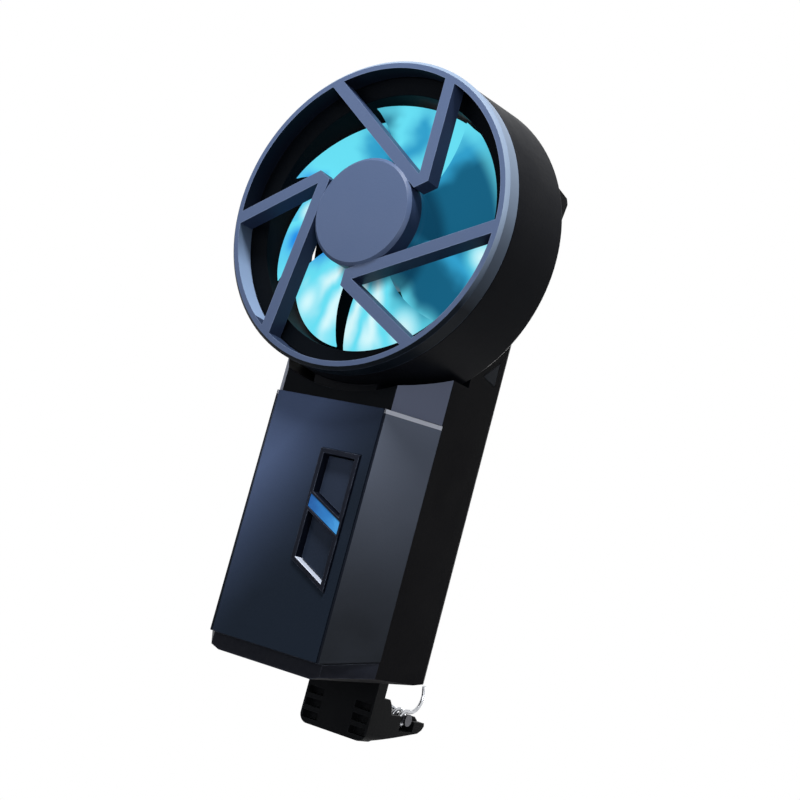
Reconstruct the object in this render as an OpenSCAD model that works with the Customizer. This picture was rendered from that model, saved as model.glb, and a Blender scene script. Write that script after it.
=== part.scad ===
// Clip-on cooling fan for a phone.
// Origin: on the soft pad that the phone's back rests on. +Z runs up the long axis to the fan head,
// -Y faces the user, +Y faces the phone, +X is on the right as the user sees it. Millimetres.

/* [Fan head] */
// Height of the fan's axis above the origin
fan_z = 17; // [16:0.5:19]
// Outer radius of the front ring
ring_r = 18.5; // [17.5:0.5:21]
// Width of the ring's flat front face
ring_face_w = 0.6; // [0.5:0.1:0.9]
// Chamfer round the ring's outer front edge
ring_chamfer = 0.4; // [0.2:0.1:0.6]
// Depth of the ring's wall
ring_d = 2.4; // [2.2:0.1:2.8]
// Depth of the head from the ring's front to the drum's back
head_d = 12.3; // [11.8:0.1:13.5]
// How much wider the drum is at its back than the ring, on radius
drum_flare = 0.75; // [0.2:0.05:0.9]
// Wall of the drum at its front
drum_wall = 1; // [0.9:0.1:1.2]
// Chamfer round the drum's back edge
drum_edge = 0.5; // [0.3:0.1:1]

/* [Spokes and hub] */
// Radius of the hub disc
hub_r = 6.5; // [6:0.1:7]
// How far the hub stands proud of the ring
hub_proud = 0.3; // [0.1:0.1:0.6]
// Chamfer round the hub's face
hub_edge = 0.4; // [0.2:0.1:0.6]
// Width of a spoke
spoke_w = 1.4; // [1.2:0.05:1.8]
// Depth of a spoke
spoke_d = 2.2; // [1.8:0.1:2.4]
// How far a spoke's inner edge bites into the hub
spoke_bite = 0.2; // [0.1:0.05:0.4]
// Number of spoke pairs
pair_count = 3; // [2:1:4]
// Direction that the long arm of a pair faces
long_arm_a = 52.5; // [48:0.5:58]
// Direction that the short arm of a pair faces
short_arm_a = 0; // [-5:0.5:5]
// Direction of the edge that closes a pair at the hub
stub_a = 28.5; // [24:0.5:32]

/* [Duct and impeller] */
// Distance from the ring's outer edge in to the duct
duct_inset = 3; // [2.9:0.1:3.7]
// Wall of the duct
duct_wall = 0.5; // [0.45:0.05:0.6]
// Depth of the bell mouth behind the ring
mouth_d = 0.6; // [0.5:0.1:1]
// Gap between the blade tips and the duct
tip_gap = 0.4; // [0.3:0.05:0.8]
// Gap between the spokes and the impeller
front_gap = 1.3; // [0.8:0.1:1.6]
// Number of blades
blade_count = 7; // [5:1:9]
// Angle that a blade wraps round the axis
blade_wrap = 57; // [46:1:60]
// Angle that a blade leans round from root to tip
blade_sweep = 21; // [10:1:26]
// Angle that a blade's thickness takes up
blade_a = 6; // [4:0.5:7]
// Angle of the first blade's front edge at its root
blade_start = 14; // [0:1:50]
// Depth of a blade from its front edge to its back edge
blade_d = 4.4; // [3.6:0.1:5]
// Radius of the impeller's hub
rotor_hub_r = 6.2; // [5.9:0.1:6.8]
// Wall of the impeller's hub
rotor_wall = 0.6; // [0.5:0.05:0.8]

/* [Motor] */
// Radius of the shaft
shaft_r = 0.75; // [0.6:0.05:0.9]
// Radius of the bearing sleeve
bearing_r = 1.5; // [1.3:0.05:1.6]
// Wall of the tube that holds the sleeve
tube_wall = 0.5; // [0.4:0.05:0.6]
// Thickness of the steel yoke
yoke_t = 0.5; // [0.4:0.05:0.6]
// Thickness of the magnet ring
magnet_t = 0.65; // [0.5:0.05:0.8]
// Air gap between magnet and poles
air_gap = 0.3; // [0.2:0.05:0.4]
// Number of poles
pole_count = 4; // [3:1:4]
// Width of a pole's arm
pole_w = 1.2; // [0.9:0.05:1.3]
// Thickness of the windings
winding_t = 0.45; // [0.3:0.05:0.5]
// Thickness of the guard's plate and struts
guard_t = 1; // [0.8:0.05:1.3]
// Width of a swept strut of the guard
strut_w = 2.8; // [2.2:0.1:3.2]
// How far a swept strut's middle line passes from the axis
strut_set = 7.2; // [6:0.1:7.5]
// Width of the strut that carries the fan lead
lead_strut_w = 2.4; // [2:0.1:3]
// Number of struts
strut_count = 3; // [3:3:9]
// Width of the guard's middle ring
guard_ring_w = 1.5; // [1:0.1:1.8]
// Where that ring stands, as a share of the way from the motor plate out to the duct
guard_ring_at = 0.72; // [0.6:0.02:0.8]
// Thickness of the circuit boards
board_t = 0.75; // [0.6:0.05:1]
// Number of LEDs behind the blades
led_count = 6; // [4:1:10]
// Side of an LED
led_w = 1.4; // [1:0.1:1.6]
// Height of an LED
led_h = 0.7; // [0.4:0.05:0.9]
// Radius of the fan lead
lead_r = 0.5; // [0.3:0.05:0.6]
// How far the fan lead reaches down into the body
lead_tail = 3; // [2:0.1:4]

/* [Body] */
// Distance from the ring's front back to the front panel
panel_set = 3.6; // [3:0.05:5]
// Width of the body
body_w = 23.8; // [23:0.1:26]
// Depth of the body from the panel to its back
body_d = 16.4; // [15.8:0.1:18]
// Width of the flat front between the bevels
flat_w = 15.6; // [14.6:0.1:17]
// How far the cover's edge stands out past the body's side
cover_over = 0.15; // [0.1:0.05:0.4]
// Depth of the bevels
bevel_d = 5.4; // [5:0.1:6]
// Height of the front cover
cover_h = 28.5; // [27:0.5:34]
// How far the cover's lower edge rises across a bevel
bevel_rise = 1.75; // [1:0.05:2.5]
// Height of the neck between the ring and the cover
neck_h = 2.6; // [2.2:0.1:4]
// Step from the cover in to the neck and the lip
step_t = 0.9; // [0.5:0.05:1.2]
// Height of the lip below the cover
lip_h = 1.9; // [1.4:0.1:2.5]
// How far the lip's lower corners draw in from the flat front
lip_in = 1.2; // [0:0.1:2]
// Slope of the body's underside, up to the back
bottom_tilt = 7.9; // [4:0.1:10]
// Wall of the body
wall = 1.4; // [1.2:0.05:1.6]
// Thickness of the front cover
cover_t = 1.6; // [1.4:0.05:1.8]
// Thickness of the front panel
panel_t = 0.7; // [0.5:0.05:0.9]
// Width of the cover's edge that shows beside the panel
panel_rim = 0.2; // [0.1:0.05:0.4]
// Distance from the fan's axis down to the tips of the horns
horn_drop = 8.3; // [7.5:0.1:10]
// Radius of the cut that the horns leave for the air
outlet_r = 13.9; // [13:0.1:15]
// Gap between the drum and the neck's saddle
saddle_gap = 0.5; // [0.3:0.05:0.8]
// Radius of the body's back corners
corner_r = 1; // [0.6:0.1:1.4]
// Width of the drum's foot in the neck
foot_w = 9; // [8:0.1:10]
// Height of the side mark
mark_h = 2.8; // [2:0.1:3.5]
// Length of the side mark
mark_l = 2.9; // [2:0.1:3.5]
// Depth of the side mark
mark_t = 0.3; // [0.2:0.05:0.5]

/* [Keys] */
// Left edge of the key frame, from the middle of the panel
frame_x = 0.75; // [-3:0.05:1.2]
// Width of the key frame
frame_w = 5.4; // [4.8:0.1:6]
// Distance from the cover's top down to the frame
frame_drop = 5.6; // [4:0.1:6]
// Height of the frame on its short side
frame_h = 12.8; // [12:0.1:14]
// Slope of the lit bar and of the frame's lower end
frame_slant = 26.5; // [20:0.5:30]
// Width of the frame's rim
rim_w = 0.55; // [0.4:0.05:0.8]
// How far the rim stands proud of the panel
rim_proud = 0.3; // [0.1:0.05:0.6]
// Distance from the frame's top down to the lit bar
bar_drop = 5.1; // [4.4:0.1:5.6]
// Height of the lit bar
bar_h = 1.5; // [1:0.1:1.8]
// Web between the lit bar and a key
web_w = 0.3; // [0.2:0.05:0.5]
// How deep the keys lie below the panel
key_sink = 0.7; // [0.4:0.05:0.9]
// Travel of a key
key_travel = 0.4; // [0.2:0.05:0.5]
// Gap round a key
key_gap = 0.15; // [0.1:0.05:0.25]

/* [Electronics] */
// Distance from the panel back to the main board
board_set = 4.6; // [4.4:0.05:5]
// Width of the main board
board_w = 16; // [14:0.5:17]
// Width of the battery
battery_w = 17; // [14:0.5:18]
// Height of the battery
battery_h = 23; // [18:0.5:24]
// Thickness of the battery
battery_t = 5; // [4:0.1:5.4]
// Thickness of the battery's tape
tape_t = 0.2; // [0.1:0.05:0.4]
// Width of the USB inlet's shell
usb_w = 8.94; // [8.9:0.01:9]
// Height of the USB inlet's shell
usb_h = 3.2; // [3.1:0.02:3.3]
// Length of the USB inlet's shell
usb_l = 6.5; // [6:0.1:7.4]
// Width of the USB inlet's tongue
tongue_w = 6.7; // [6.6:0.01:6.8]
// Thickness of the USB inlet's tongue
tongue_t = 0.7; // [0.65:0.01:0.75]
// Wall of the USB inlet's shell
usb_wall = 0.3; // [0.25:0.05:0.35]

/* [Clamp] */
// Thickness of the soft pad that the phone's back rests on
pad_t = 0.8; // [0.6:0.05:1.2]
// Width of that pad
pad_w = 11.2; // [9:0.1:12]
// Wall of the clamp bar behind the slide
bar_wall = 1.2; // [1:0.05:1.5]
// Distance from the cover's lower edge up to the lower bar screws
bar_screw_rise = 5; // [4:0.5:8]
// Distance from the cover's upper edge down to the upper bar screws
bar_screw_drop = 2.5; // [2:0.5:5]
// Side walls of the clamp bar
bar_side = 2.1; // [1.9:0.05:2.4]
// Thickness of the clamp bar's lid
lid_t = 0.9; // [0.7:0.05:1.2]
// Distance from the fan's axis up to the hook's pad
hook_rise = 13.2; // [12.5:0.1:15]
// Thickness of the hook's pad
hook_pad_t = 0.6; // [0.4:0.05:0.8]
// Width of the hook
hook_w = 11.1; // [9:0.1:12]
// Thickness of the hook above its pad, at the tip
hook_t = 1.6; // [1.2:0.1:2.4]
// Slope of the hook's top, down to the tip
hook_tilt = 8; // [0:0.5:12]
// Depth of the space for the phone's edge
slot_d = 8.4; // [8.2:0.1:11]
// Thickness of the hook's lip
lip_t = 1.45; // [1:0.05:2]
// How far the lip reaches down past the hook's pad
lip_reach = 2; // [1:0.1:3]

/* [Jaw] */
// Travel of the jaw
jaw_travel = 21; // [12:0.5:22]
// Distance from the body's lower back edge down to the foot's pad
jaw_drop = 4.6; // [4.2:0.1:8]
// Width of the slide plate and its foot
plate_w = 10; // [9:0.1:11]
// Thickness of the slide plate
plate_t = 2; // [1.8:0.05:2.4]
// Clearance round the slide plate
slide_gap = 0.2; // [0.15:0.05:0.3]
// Thickness of the foot at the slide plate, under its pad
foot_t = 3; // [2.9:0.1:4.5]
// Slope of the foot's underside, up to its tip
foot_tilt = 8.9; // [4:0.1:10]
// Radius of the slide plate's lower corners
plate_r = 1.2; // [0.6:0.1:2]
// Height of the fillet block between plate and foot
root_h = 1.4; // [0.8:0.1:1.8]
// Depth of that block
root_d = 1.9; // [1.4:0.1:2.2]
// Thickness of the foot's pad
foot_pad_t = 0.4; // [0.3:0.05:0.6]
// Number of notches in each column
notch_count = 3; // [2:1:3]
// Width of a notch
notch_w = 2.35; // [1.8:0.05:2.6]
// Height of a notch
notch_h = 0.9; // [0.6:0.05:1.1]
// Distance between notches
notch_pitch = 1.5; // [1.3:0.05:1.6]
// Depth of a notch
notch_d = 1.2; // [0.6:0.1:1.4]
// Rim between a notch and the plate's side
notch_rim = 0.3; // [0.2:0.05:0.6]
// Radius of the guide screw
guide_r = 0.8; // [0.6:0.05:1]
// Height of the guide screw above the foot's pad
guide_rise = 17; // [15:0.5:18]
// Length of the slide plate above the guide screw's slot
plate_head = 2; // [1.5:0.1:3]
// Radius of the return spring
return_r = 1; // [0.7:0.05:1.05]
// Length of the return spring
return_l = 17; // [14:0.5:18]

/* [Wire finger] */
// Thickness of the wire
wire_d = 0.5; // [0.4:0.05:0.55]
// Radius of the coil at the middle of the wire
coil_r = 1; // [0.9:0.05:1.1]
// Turns of the coil, a quarter past a whole number
coil_turns = 2.25; // [1.25:1:2.25]
// Distance between turns
coil_pitch = 1.1; // [1:0.05:1.15]
// Distance from the phone's back to the coil's axis
coil_y = 4.3; // [4:0.1:4.8]
// Depth of the coil's axis below the foot's pad
coil_sink = 0.8; // [0.7:0.05:0.85]
// Straight run of the leg behind the coil
leg_run = 0.9; // [0.7:0.1:1.6]
// Radius of the leg's bend
leg_r = 2; // [1.8:0.1:2.4]
// Depth of the groove in the foot that the leg bends down into
leg_dip = 0.5; // [0.4:0.05:0.6]
// Angle at which the bend ends above the horizontal
leg_end_a = 20; // [0:5:30]
// Radius of the coil's pin
pin_r = 0.55; // [0.4:0.05:0.6]

/* [Fits] */
// Clearance between fixed pieces
fit = 0.05; // [0.03:0.01:0.1]
// Running clearance of the shaft, on radius
run_fit = 0.03; // [0.02:0.01:0.06]
// Clearance between the spinning pieces and what faces them
run_gap = 0.5; // [0.4:0.05:0.7]
// Radius of the small screws
screw_r = 0.5; // [0.4:0.05:0.6]
// Radius of the small screws' heads
screw_head_r = 0.9; // [0.7:0.05:1]
// Height of the small screws' heads
screw_head_h = 0.6; // [0.4:0.05:0.7]
// Radius of the neck screws
neck_screw_r = 0.6; // [0.5:0.05:0.7]

/* [Hidden] */
$fn = 96;
eps = 0.02;
far = 200;

// Depth: everything is stacked forward from the phone's back at y = 0
bar_d = lid_t + plate_t + 2 * slide_gap + bar_wall;
bar_back_y = -pad_t;
body_back_y = bar_back_y - bar_d;
lid_back_y = body_back_y + lid_t;
plate_front_y = lid_back_y + slide_gap;
plate_back_y = plate_front_y + plate_t;
slide_back_y = plate_back_y + slide_gap;
panel_y = body_back_y - body_d;
head_y = panel_y - panel_set;
drum_back_y = head_y + head_d;
edge_y = panel_y + bevel_d;
inner_back_y = body_back_y - wall;
board_y = panel_y + board_set;
board_back_y = board_y + board_t;

// Fan head
ring_in_r = ring_r - ring_chamfer - ring_face_w;
drum_r = ring_r + drum_flare;
drum_in_r = ring_r - drum_wall;
duct_r = ring_r - duct_inset;
duct_out_r = duct_r + duct_wall;
tip_r = duct_r - tip_gap;
throat_d = ring_d + mouth_d;
guard_d = head_d - guard_t;
motor_board_d = guard_d - fit - board_t;
guard_front_d = motor_board_d;
hub_front_d = spoke_d + front_gap;
blade_front_d = hub_front_d + rotor_wall;
rotor_back_d = motor_board_d - run_gap;
spoke_offset = hub_r - spoke_bite;
boss_r = (drum_in_r - duct_out_r) / 2 - fit;
boss_at_r = (drum_in_r + duct_out_r) / 2;
guard_screw_a = 90;
lead_d = guard_d - fit - lead_r;
led_at_r = rotor_hub_r + led_w;
motor_plate_r = led_at_r + led_w;

// Motor, from the axis outwards
tube_r = bearing_r + tube_wall;
cup_r = rotor_hub_r - rotor_wall;
yoke_in_r = cup_r - yoke_t;
magnet_in_r = yoke_in_r - magnet_t;
pole_r = magnet_in_r - air_gap;
shoe_t = 0.5;
shoe_a = 60;
core_hub_t = 0.4;
boss_wall = 0.8;
front_plate_t = rotor_wall + 0.3;
yoke_front_d = hub_front_d + front_plate_t;
shaft_boss_d = yoke_front_d + yoke_t;
tube_front_d = shaft_boss_d + run_gap;
magnet_front_d = yoke_front_d + yoke_t + fit;
core_front_d = tube_front_d + winding_t;
core_back_d = motor_board_d - winding_t - fit - run_gap;
shaft_front_d = hub_front_d + front_plate_t / 2;
shaft_back_d = guard_d - 2 * fit;

// Body
body_hw = body_w / 2;
cover_hw = body_hw + cover_over;
flat_hw = flat_w / 2;
bevel_run = cover_hw - flat_hw;
bevel_l = norm([bevel_run, bevel_d]);
cover_top_z = fan_z - ring_r - neck_h;
cover_low_z = cover_top_z - cover_h;
inner_top_z = cover_top_z - 0.8;
inner_low_z = cover_low_z + bevel_rise + fit;
lip_z = cover_low_z - lip_h;
lip_y = panel_y + step_t;
horn_z = fan_z - horn_drop;
bottom_rise = tan(bottom_tilt);
back_low_z = lip_z + (body_back_y - corner_r - lip_y) * bottom_rise;

// The drum's foot in the neck, with the screws that hold it
foot_front_set = 5.4;
foot_front_y = head_y + foot_front_set;
foot_back_y = drum_back_y - drum_edge;
foot_low_z = cover_top_z + 0.3;
foot_top_z = fan_z - ring_r + drum_wall / 2;
neck_screw_x = foot_w / 3;
neck_screw_z = (foot_low_z + fan_z - drum_r) / 2;
neck_screw_y = foot_front_y + 2;
neck_head_r = 2 * neck_screw_r;
neck_head_h = 1;
lead_y = head_y + lead_d;

// Side mark, near the body's back edge
mark_set = 2.1;
mark_drop = 3;
mark_back_y = body_back_y - mark_set;
mark_top_z = horn_z - mark_drop;

// Keys
slant = tan(frame_slant);
slant_k = 1 / cos(frame_slant);
frame_x1 = frame_x + frame_w;
frame_top_z = cover_top_z - frame_drop;
frame_back_y = panel_y + cover_t + 0.4;
frame_flange = 0.6;
key_face_y = panel_y + key_sink;
key_flange = rim_w - 2 * fit;
key_flange_y = frame_back_y + fit;
key_flange_t = 0.45;
key_back_y = key_flange_y + key_flange_t;
switch_h = 0.7;
switch_w = 3;
plunger_h = 0.3;
plunger_r = 0.7;
post_tip_y = board_y - switch_h - plunger_h - key_travel - 0.1;
bar_led_h = 0.6;
guide_tip_y = board_y - bar_led_h - 0.15;
guide_t = 0.8;

// Clamp and jaw
bar_hw = plate_w / 2 + slide_gap + bar_side;
bar_low_z = back_low_z + 0.6;
hook_pad_z = fan_z + hook_rise;
hook_z = hook_pad_z + hook_pad_t;
hook_tip_y = slot_d + lip_t;
tip_chamfer = 0.6;
bar_top_z = hook_z + hook_t;
foot_pad_z = back_low_z - jaw_drop;
foot_z = foot_pad_z - foot_pad_t;
foot_rise = tan(foot_tilt);
foot_tip_y = slot_d;
jaw_low_z = foot_z - foot_t - (0 - plate_front_y) * foot_rise;
guide_z = foot_pad_z + guide_rise;
slot_low_z = guide_z - guide_r - slide_gap;
slot_high_z = guide_z + jaw_travel + guide_r + slide_gap;
plate_top_z = slot_high_z + plate_head;
slide_end_z = plate_top_z + 0.3;
return_y = (lid_back_y + slide_back_y) / 2;
return_low_z = plate_top_z + 0.1;
return_high_z = return_low_z + return_l;
return_hw = (slide_back_y - lid_back_y) / 2;
anchor_r = 0.5;
anchor_z = return_high_z + anchor_r + 0.1;
pad_low_gap = 2;
pad_high_gap = 4.5;
pad_low_z = bar_low_z + pad_low_gap;
pad_high_z = hook_z - pad_high_gap;
pad_groove_pitch = 4;
pad_groove_w = 0.6;
pad_groove_d = 0.25;
bar_screw_x = bar_hw - bar_side / 2;
bar_screw_r = screw_r;
bar_screw_z = [cover_low_z + bar_screw_rise, cover_top_z - bar_screw_drop];

// Wire finger: the coil winds round the X axis and its free leg bends up behind the phone's edge
coil_z = foot_pad_z - coil_sink;
coil_l = coil_pitch * coil_turns;
coil_x1 = plate_w / 2 - wire_d;
coil_x0 = coil_x1 - coil_l;
pocket_gap = 0.35;
pocket_hw = coil_r + wire_d / 2 + pocket_gap;
pocket_x = coil_x0 - wire_d / 2 - pocket_gap;
pocket_low_z = coil_z - coil_r - wire_d / 2 - 0.15;
pin_x0 = pocket_x - 1.4;
pin_x1 = plate_w / 2 + 0.05;
pin_head_t = 0.2;
pin_head_r = pin_r + 0.2;
wire_sides = 6;
curl_rings = 8;
bend_rings = 8;
tail_l = 1.4 * wire_d;

// Shared shapes

// Extrudes an x, z outline from one depth to another
module slab(front, back) {
    translate([0, back, 0])
        rotate([90, 0, 0])
            linear_extrude(back - front) children();
}

// Turns a radius, depth profile round the fan's axis, with depth counted from the ring's front
module turned() {
    translate([0, head_y, fan_z])
        rotate([-90, 0, 0])
            rotate_extrude() children();
}

// Extrudes an x, z outline, centred on the fan's axis, between two depths from the ring's front
module on_axis(front_d, back_d) {
    slab(head_y + front_d, head_y + back_d)
        translate([0, fan_z]) children();
}

// Extrudes a y, z profile from one x to another
module across(left, right) {
    translate([left, 0, 0])
        rotate([90, 0, 90])
            linear_extrude(right - left) children();
}

// Extrudes an x, y section from one height to another
module upright(low, high) {
    translate([0, 0, low])
        linear_extrude(high - low) children();
}

// A round rod along Y
module rod(r, front, back, x, z) {
    translate([x, front, z])
        rotate([-90, 0, 0])
            cylinder(r = r, h = back - front);
}

// A rectangle in x, z, given by its middle in x
module panel_2d(hw, low, high) {
    translate([-hw, low])
        square([2 * hw, high - low]);
}

// A flat ring
module ring_2d(r_out, r_in) {
    difference() {
        circle(r = r_out);
        circle(r = r_in);
    }
}

// A screw along Y with its head towards the user or towards the phone
module screw(r, head_r, head_h, front, back, x, z, head_at_back) {
    rod(r, front, back, x, z);
    if (head_at_back) {
        rod(head_r, back - head_h, back, x, z);
    } else {
        rod(head_r, front, front + head_h, x, z);
    }
}

// Fan head

// The hole that the fan lead runs down through
module lead_hole(low, high) {
    translate([0, lead_y, low])
        cylinder(r = lead_r + 4 * fit, h = high - low);
}

// The two arms of one V, cut off by the edge at the hub
module spoke_pair_2d() {
    intersection() {
        rotate(stub_a)
            translate([-ring_r, 0])
                square([2 * ring_r, 2 * ring_r]);
        union() {
            for (a = [long_arm_a, short_arm_a]) {
                rotate(a)
                    translate([spoke_offset, -ring_r])
                        square([spoke_w, 2 * ring_r]);
            }
        }
    }
}

module front_grille() {
    face_r = ring_in_r + ring_face_w;
    hub_flat_r = hub_r - hub_edge;
    color("slategray") {
        turned()
            polygon([
                [ring_in_r, 0], [face_r, 0], [ring_r, ring_chamfer], [ring_r, ring_d], [ring_in_r, ring_d]
            ]);
        on_axis(0, spoke_d)
            intersection() {
                circle(r = ring_in_r + ring_face_w / 2);
                union() {
                    for (k = [0 : pair_count - 1]) {
                        rotate(k * 360 / pair_count) spoke_pair_2d();
                    }
                }
            }
        turned()
            polygon([
                [0, -hub_proud], [hub_flat_r, -hub_proud], [hub_r, hub_edge - hub_proud], [hub_r, spoke_d],
                [0, spoke_d]
            ]);
    }
}

module drum_housing() {
    color([0.06, 0.06, 0.08])
        difference() {
            union() {
                turned()
                    polygon([
                        [drum_in_r, ring_d + fit], [ring_r, ring_d + fit], [drum_r, head_d - drum_edge],
                        [drum_r - drum_edge, head_d], [drum_in_r, head_d]
                    ]);
                slab(foot_front_y, foot_back_y) panel_2d(foot_w / 2, foot_low_z, foot_top_z);
            }
            for (side = [-1, 1]) {
                rod(neck_screw_r, neck_screw_y, foot_back_y + eps, side * neck_screw_x, neck_screw_z);
            }
            lead_hole(foot_low_z - eps, fan_z - duct_r);
        }
}

module air_duct() {
    boss_front_d = guard_front_d - 3;
    color([0.03, 0.03, 0.04])
        difference() {
            union() {
                turned()
                    polygon([
                        [drum_in_r - fit, ring_d + 2 * fit], [drum_in_r - fit, ring_d + mouth_d],
                        [duct_out_r, throat_d + mouth_d], [duct_out_r, guard_front_d - fit],
                        [duct_r, guard_front_d - fit], [duct_r, throat_d]
                    ]);
                for (k = [0 : strut_count - 1]) {
                    a = guard_screw_a + k * 360 / strut_count;
                    rod(
                        boss_r + fit / 2, head_y + boss_front_d, head_y + guard_front_d - fit,
                        boss_at_r * cos(a), fan_z + boss_at_r * sin(a)
                    );
                    slab(head_y + boss_front_d, head_y + guard_front_d - fit)
                        translate([0, fan_z])
                            rotate(a)
                                translate([duct_out_r - duct_wall / 2, -boss_r / 2])
                                    square([boss_at_r - duct_out_r, boss_r]);
                }
            }
            for (k = [0 : strut_count - 1]) {
                a = guard_screw_a + k * 360 / strut_count;
                rod(
                    screw_r, head_y + boss_front_d - eps, head_y + guard_front_d,
                    boss_at_r * cos(a), fan_z + boss_at_r * sin(a)
                );
            }
            lead_hole(fan_z - drum_in_r, fan_z - motor_plate_r);
        }
}

// The swept struts, and the straight one that carries the fan lead
module guard_struts_2d() {
    intersection() {
        circle(r = (duct_r + drum_in_r) / 2);
        union() {
            for (k = [0 : strut_count - 1]) {
                rotate(k * 360 / strut_count)
                    strip_down(-strut_set, strut_w);
            }
            strip_down(0, lead_strut_w);
        }
    }
}

// A strip that runs down from the axis, given by its middle line and width
module strip_down(x, w) {
    translate([x - w / 2, -drum_in_r])
        square([w, drum_in_r]);
}

module rear_guard() {
    middle_r = motor_plate_r + guard_ring_at * (duct_r - motor_plate_r);
    color([0.05, 0.05, 0.06])
        difference() {
            union() {
                on_axis(guard_front_d, head_d) ring_2d(drum_in_r - fit, duct_r);
                on_axis(guard_d, head_d) {
                    circle(r = motor_plate_r);
                    guard_struts_2d();
                    ring_2d(middle_r + guard_ring_w / 2, middle_r - guard_ring_w / 2);
                }
                on_axis(tube_front_d, head_d) circle(r = tube_r);
            }
            on_axis(tube_front_d - eps, guard_d) circle(r = bearing_r + fit / 2);
            for (k = [0 : strut_count - 1]) {
                a = guard_screw_a + k * 360 / strut_count;
                rod(
                    screw_r + fit, head_y + guard_front_d - eps, drum_back_y + eps,
                    boss_at_r * cos(a), fan_z + boss_at_r * sin(a)
                );
                rod(
                    screw_head_r - 0.2 + fit, drum_back_y - screw_head_h, drum_back_y + eps,
                    boss_at_r * cos(a), fan_z + boss_at_r * sin(a)
                );
            }
            slab(head_y + guard_front_d - eps, lead_y + lead_r + fit)
                panel_2d(lead_r + 2 * fit, fan_z - drum_in_r - eps, fan_z - duct_r + 1);
        }
}

module guard_screws() {
    color("dimgray")
        for (k = [0 : strut_count - 1]) {
            a = guard_screw_a + k * 360 / strut_count;
            screw(
                screw_r - fit / 2, screw_head_r - 0.2, screw_head_h - fit,
                head_y + guard_front_d - 2.4, drum_back_y - fit,
                boss_at_r * cos(a), fan_z + boss_at_r * sin(a), true
            );
        }
}

// Impeller and motor

// Outline of one blade at its front, from root to tip
module blade_2d() {
    root_r = rotor_hub_r - rotor_wall / 2;
    steps = 7;
    stations = [for (k = [0 : steps]) root_r + (tip_r - root_r) * k / steps];
    function lean(r) = -blade_sweep * (r - root_r) / (tip_r - root_r);
    front = [for (r = stations) r * [cos(lean(r) + blade_a / 2), sin(lean(r) + blade_a / 2)]];
    back = [for (k = [steps : -1 : 0])
        let (r = stations[k])
            r * [cos(lean(r) - blade_a / 2), sin(lean(r) - blade_a / 2)]];
    polygon(concat(front, back));
}

module impeller() {
    color([0.35, 0.8, 0.9]) {
        turned()
            difference() {
                polygon([
                    [0, hub_front_d], [rotor_hub_r - rotor_wall, hub_front_d],
                    [rotor_hub_r, hub_front_d + rotor_wall], [rotor_hub_r, rotor_back_d],
                    [cup_r, rotor_back_d], [cup_r, yoke_front_d], [shaft_r + boss_wall, yoke_front_d],
                    [shaft_r + boss_wall, shaft_boss_d], [0, shaft_boss_d]
                ]);
                translate([0, shaft_front_d])
                    square([shaft_r, shaft_boss_d]);
            }
        translate([0, head_y + blade_front_d, fan_z])
            rotate([-90, 0, 0])
                for (k = [0 : blade_count - 1]) {
                    rotate(blade_start + k * 360 / blade_count)
                        linear_extrude(blade_d, twist = -blade_wrap, slices = 12, $fn = 8)
                            blade_2d();
                }
    }
}

module rotor_yoke() {
    color("silver")
        turned()
            polygon([
                [shaft_r + boss_wall + fit, yoke_front_d + fit], [cup_r - fit, yoke_front_d + fit],
                [cup_r - fit, rotor_back_d], [yoke_in_r, rotor_back_d],
                [yoke_in_r, yoke_front_d + yoke_t], [shaft_r + boss_wall + fit, yoke_front_d + yoke_t]
            ]);
}

module magnet_ring() {
    color([0.25, 0.25, 0.27])
        on_axis(magnet_front_d, rotor_back_d - fit) ring_2d(yoke_in_r - fit, magnet_in_r);
}

module rotor_shaft() {
    color("lightgray")
        rod(shaft_r - fit / 5, head_y + shaft_front_d, head_y + shaft_back_d - fit, 0, fan_z);
}

module bearing_sleeve() {
    color([0.7, 0.5, 0.25])
        on_axis(tube_front_d + fit, guard_d - fit) ring_2d(bearing_r, shaft_r - fit / 5 + run_fit);
}

module stator_core() {
    color([0.5, 0.5, 0.52])
        on_axis(core_front_d, core_back_d)
            difference() {
                union() {
                    circle(r = tube_r + core_hub_t);
                    for (k = [0 : pole_count - 1]) {
                        rotate(k * 360 / pole_count) {
                            translate([tube_r, -pole_w / 2])
                                square([pole_r - shoe_t / 2 - tube_r, pole_w]);
                            intersection() {
                                ring_2d(pole_r, pole_r - shoe_t);
                                polygon([
                                    [0, 0], 2 * pole_r * [cos(shoe_a / 2), sin(shoe_a / 2)],
                                    2 * pole_r * [cos(shoe_a / 2), -sin(shoe_a / 2)]
                                ]);
                            }
                        }
                    }
                }
                circle(r = tube_r + fit / 2);
            }
}

module stator_windings() {
    inner = tube_r + core_hub_t + fit;
    half_w = pole_w / 2 + winding_t;
    outer = sqrt(pow(pole_r - shoe_t - fit, 2) - pow(half_w, 2));
    color([0.72, 0.4, 0.2])
        for (k = [0 : pole_count - 1]) {
            difference() {
                on_axis(core_front_d - winding_t, core_back_d + winding_t)
                    rotate(k * 360 / pole_count)
                        translate([inner, -half_w])
                            square([outer - inner, 2 * half_w]);
                on_axis(core_front_d - fit / 2, core_back_d + fit / 2)
                    rotate(k * 360 / pole_count)
                        translate([inner - eps, -pole_w / 2 - fit / 2])
                            square([outer - inner + 2 * eps, pole_w + fit]);
            }
        }
}

module motor_board() {
    color([0.05, 0.2, 0.1])
        on_axis(motor_board_d, guard_d - fit) ring_2d(motor_plate_r, tube_r + fit);
}

module blade_leds() {
    color("white")
        for (k = [0 : led_count - 1]) {
            on_axis(motor_board_d - led_h, motor_board_d)
                rotate(360 / led_count * (k + 0.5))
                    translate([led_at_r - led_w / 2, -led_w / 2])
                        square([led_w, led_w]);
        }
}

module fan_lead() {
    color([0.15, 0.15, 0.16])
        translate([0, lead_y, inner_top_z - lead_tail])
            cylinder(r = lead_r, h = fan_z - motor_plate_r - fit - inner_top_z + lead_tail);
}

// Body

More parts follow.
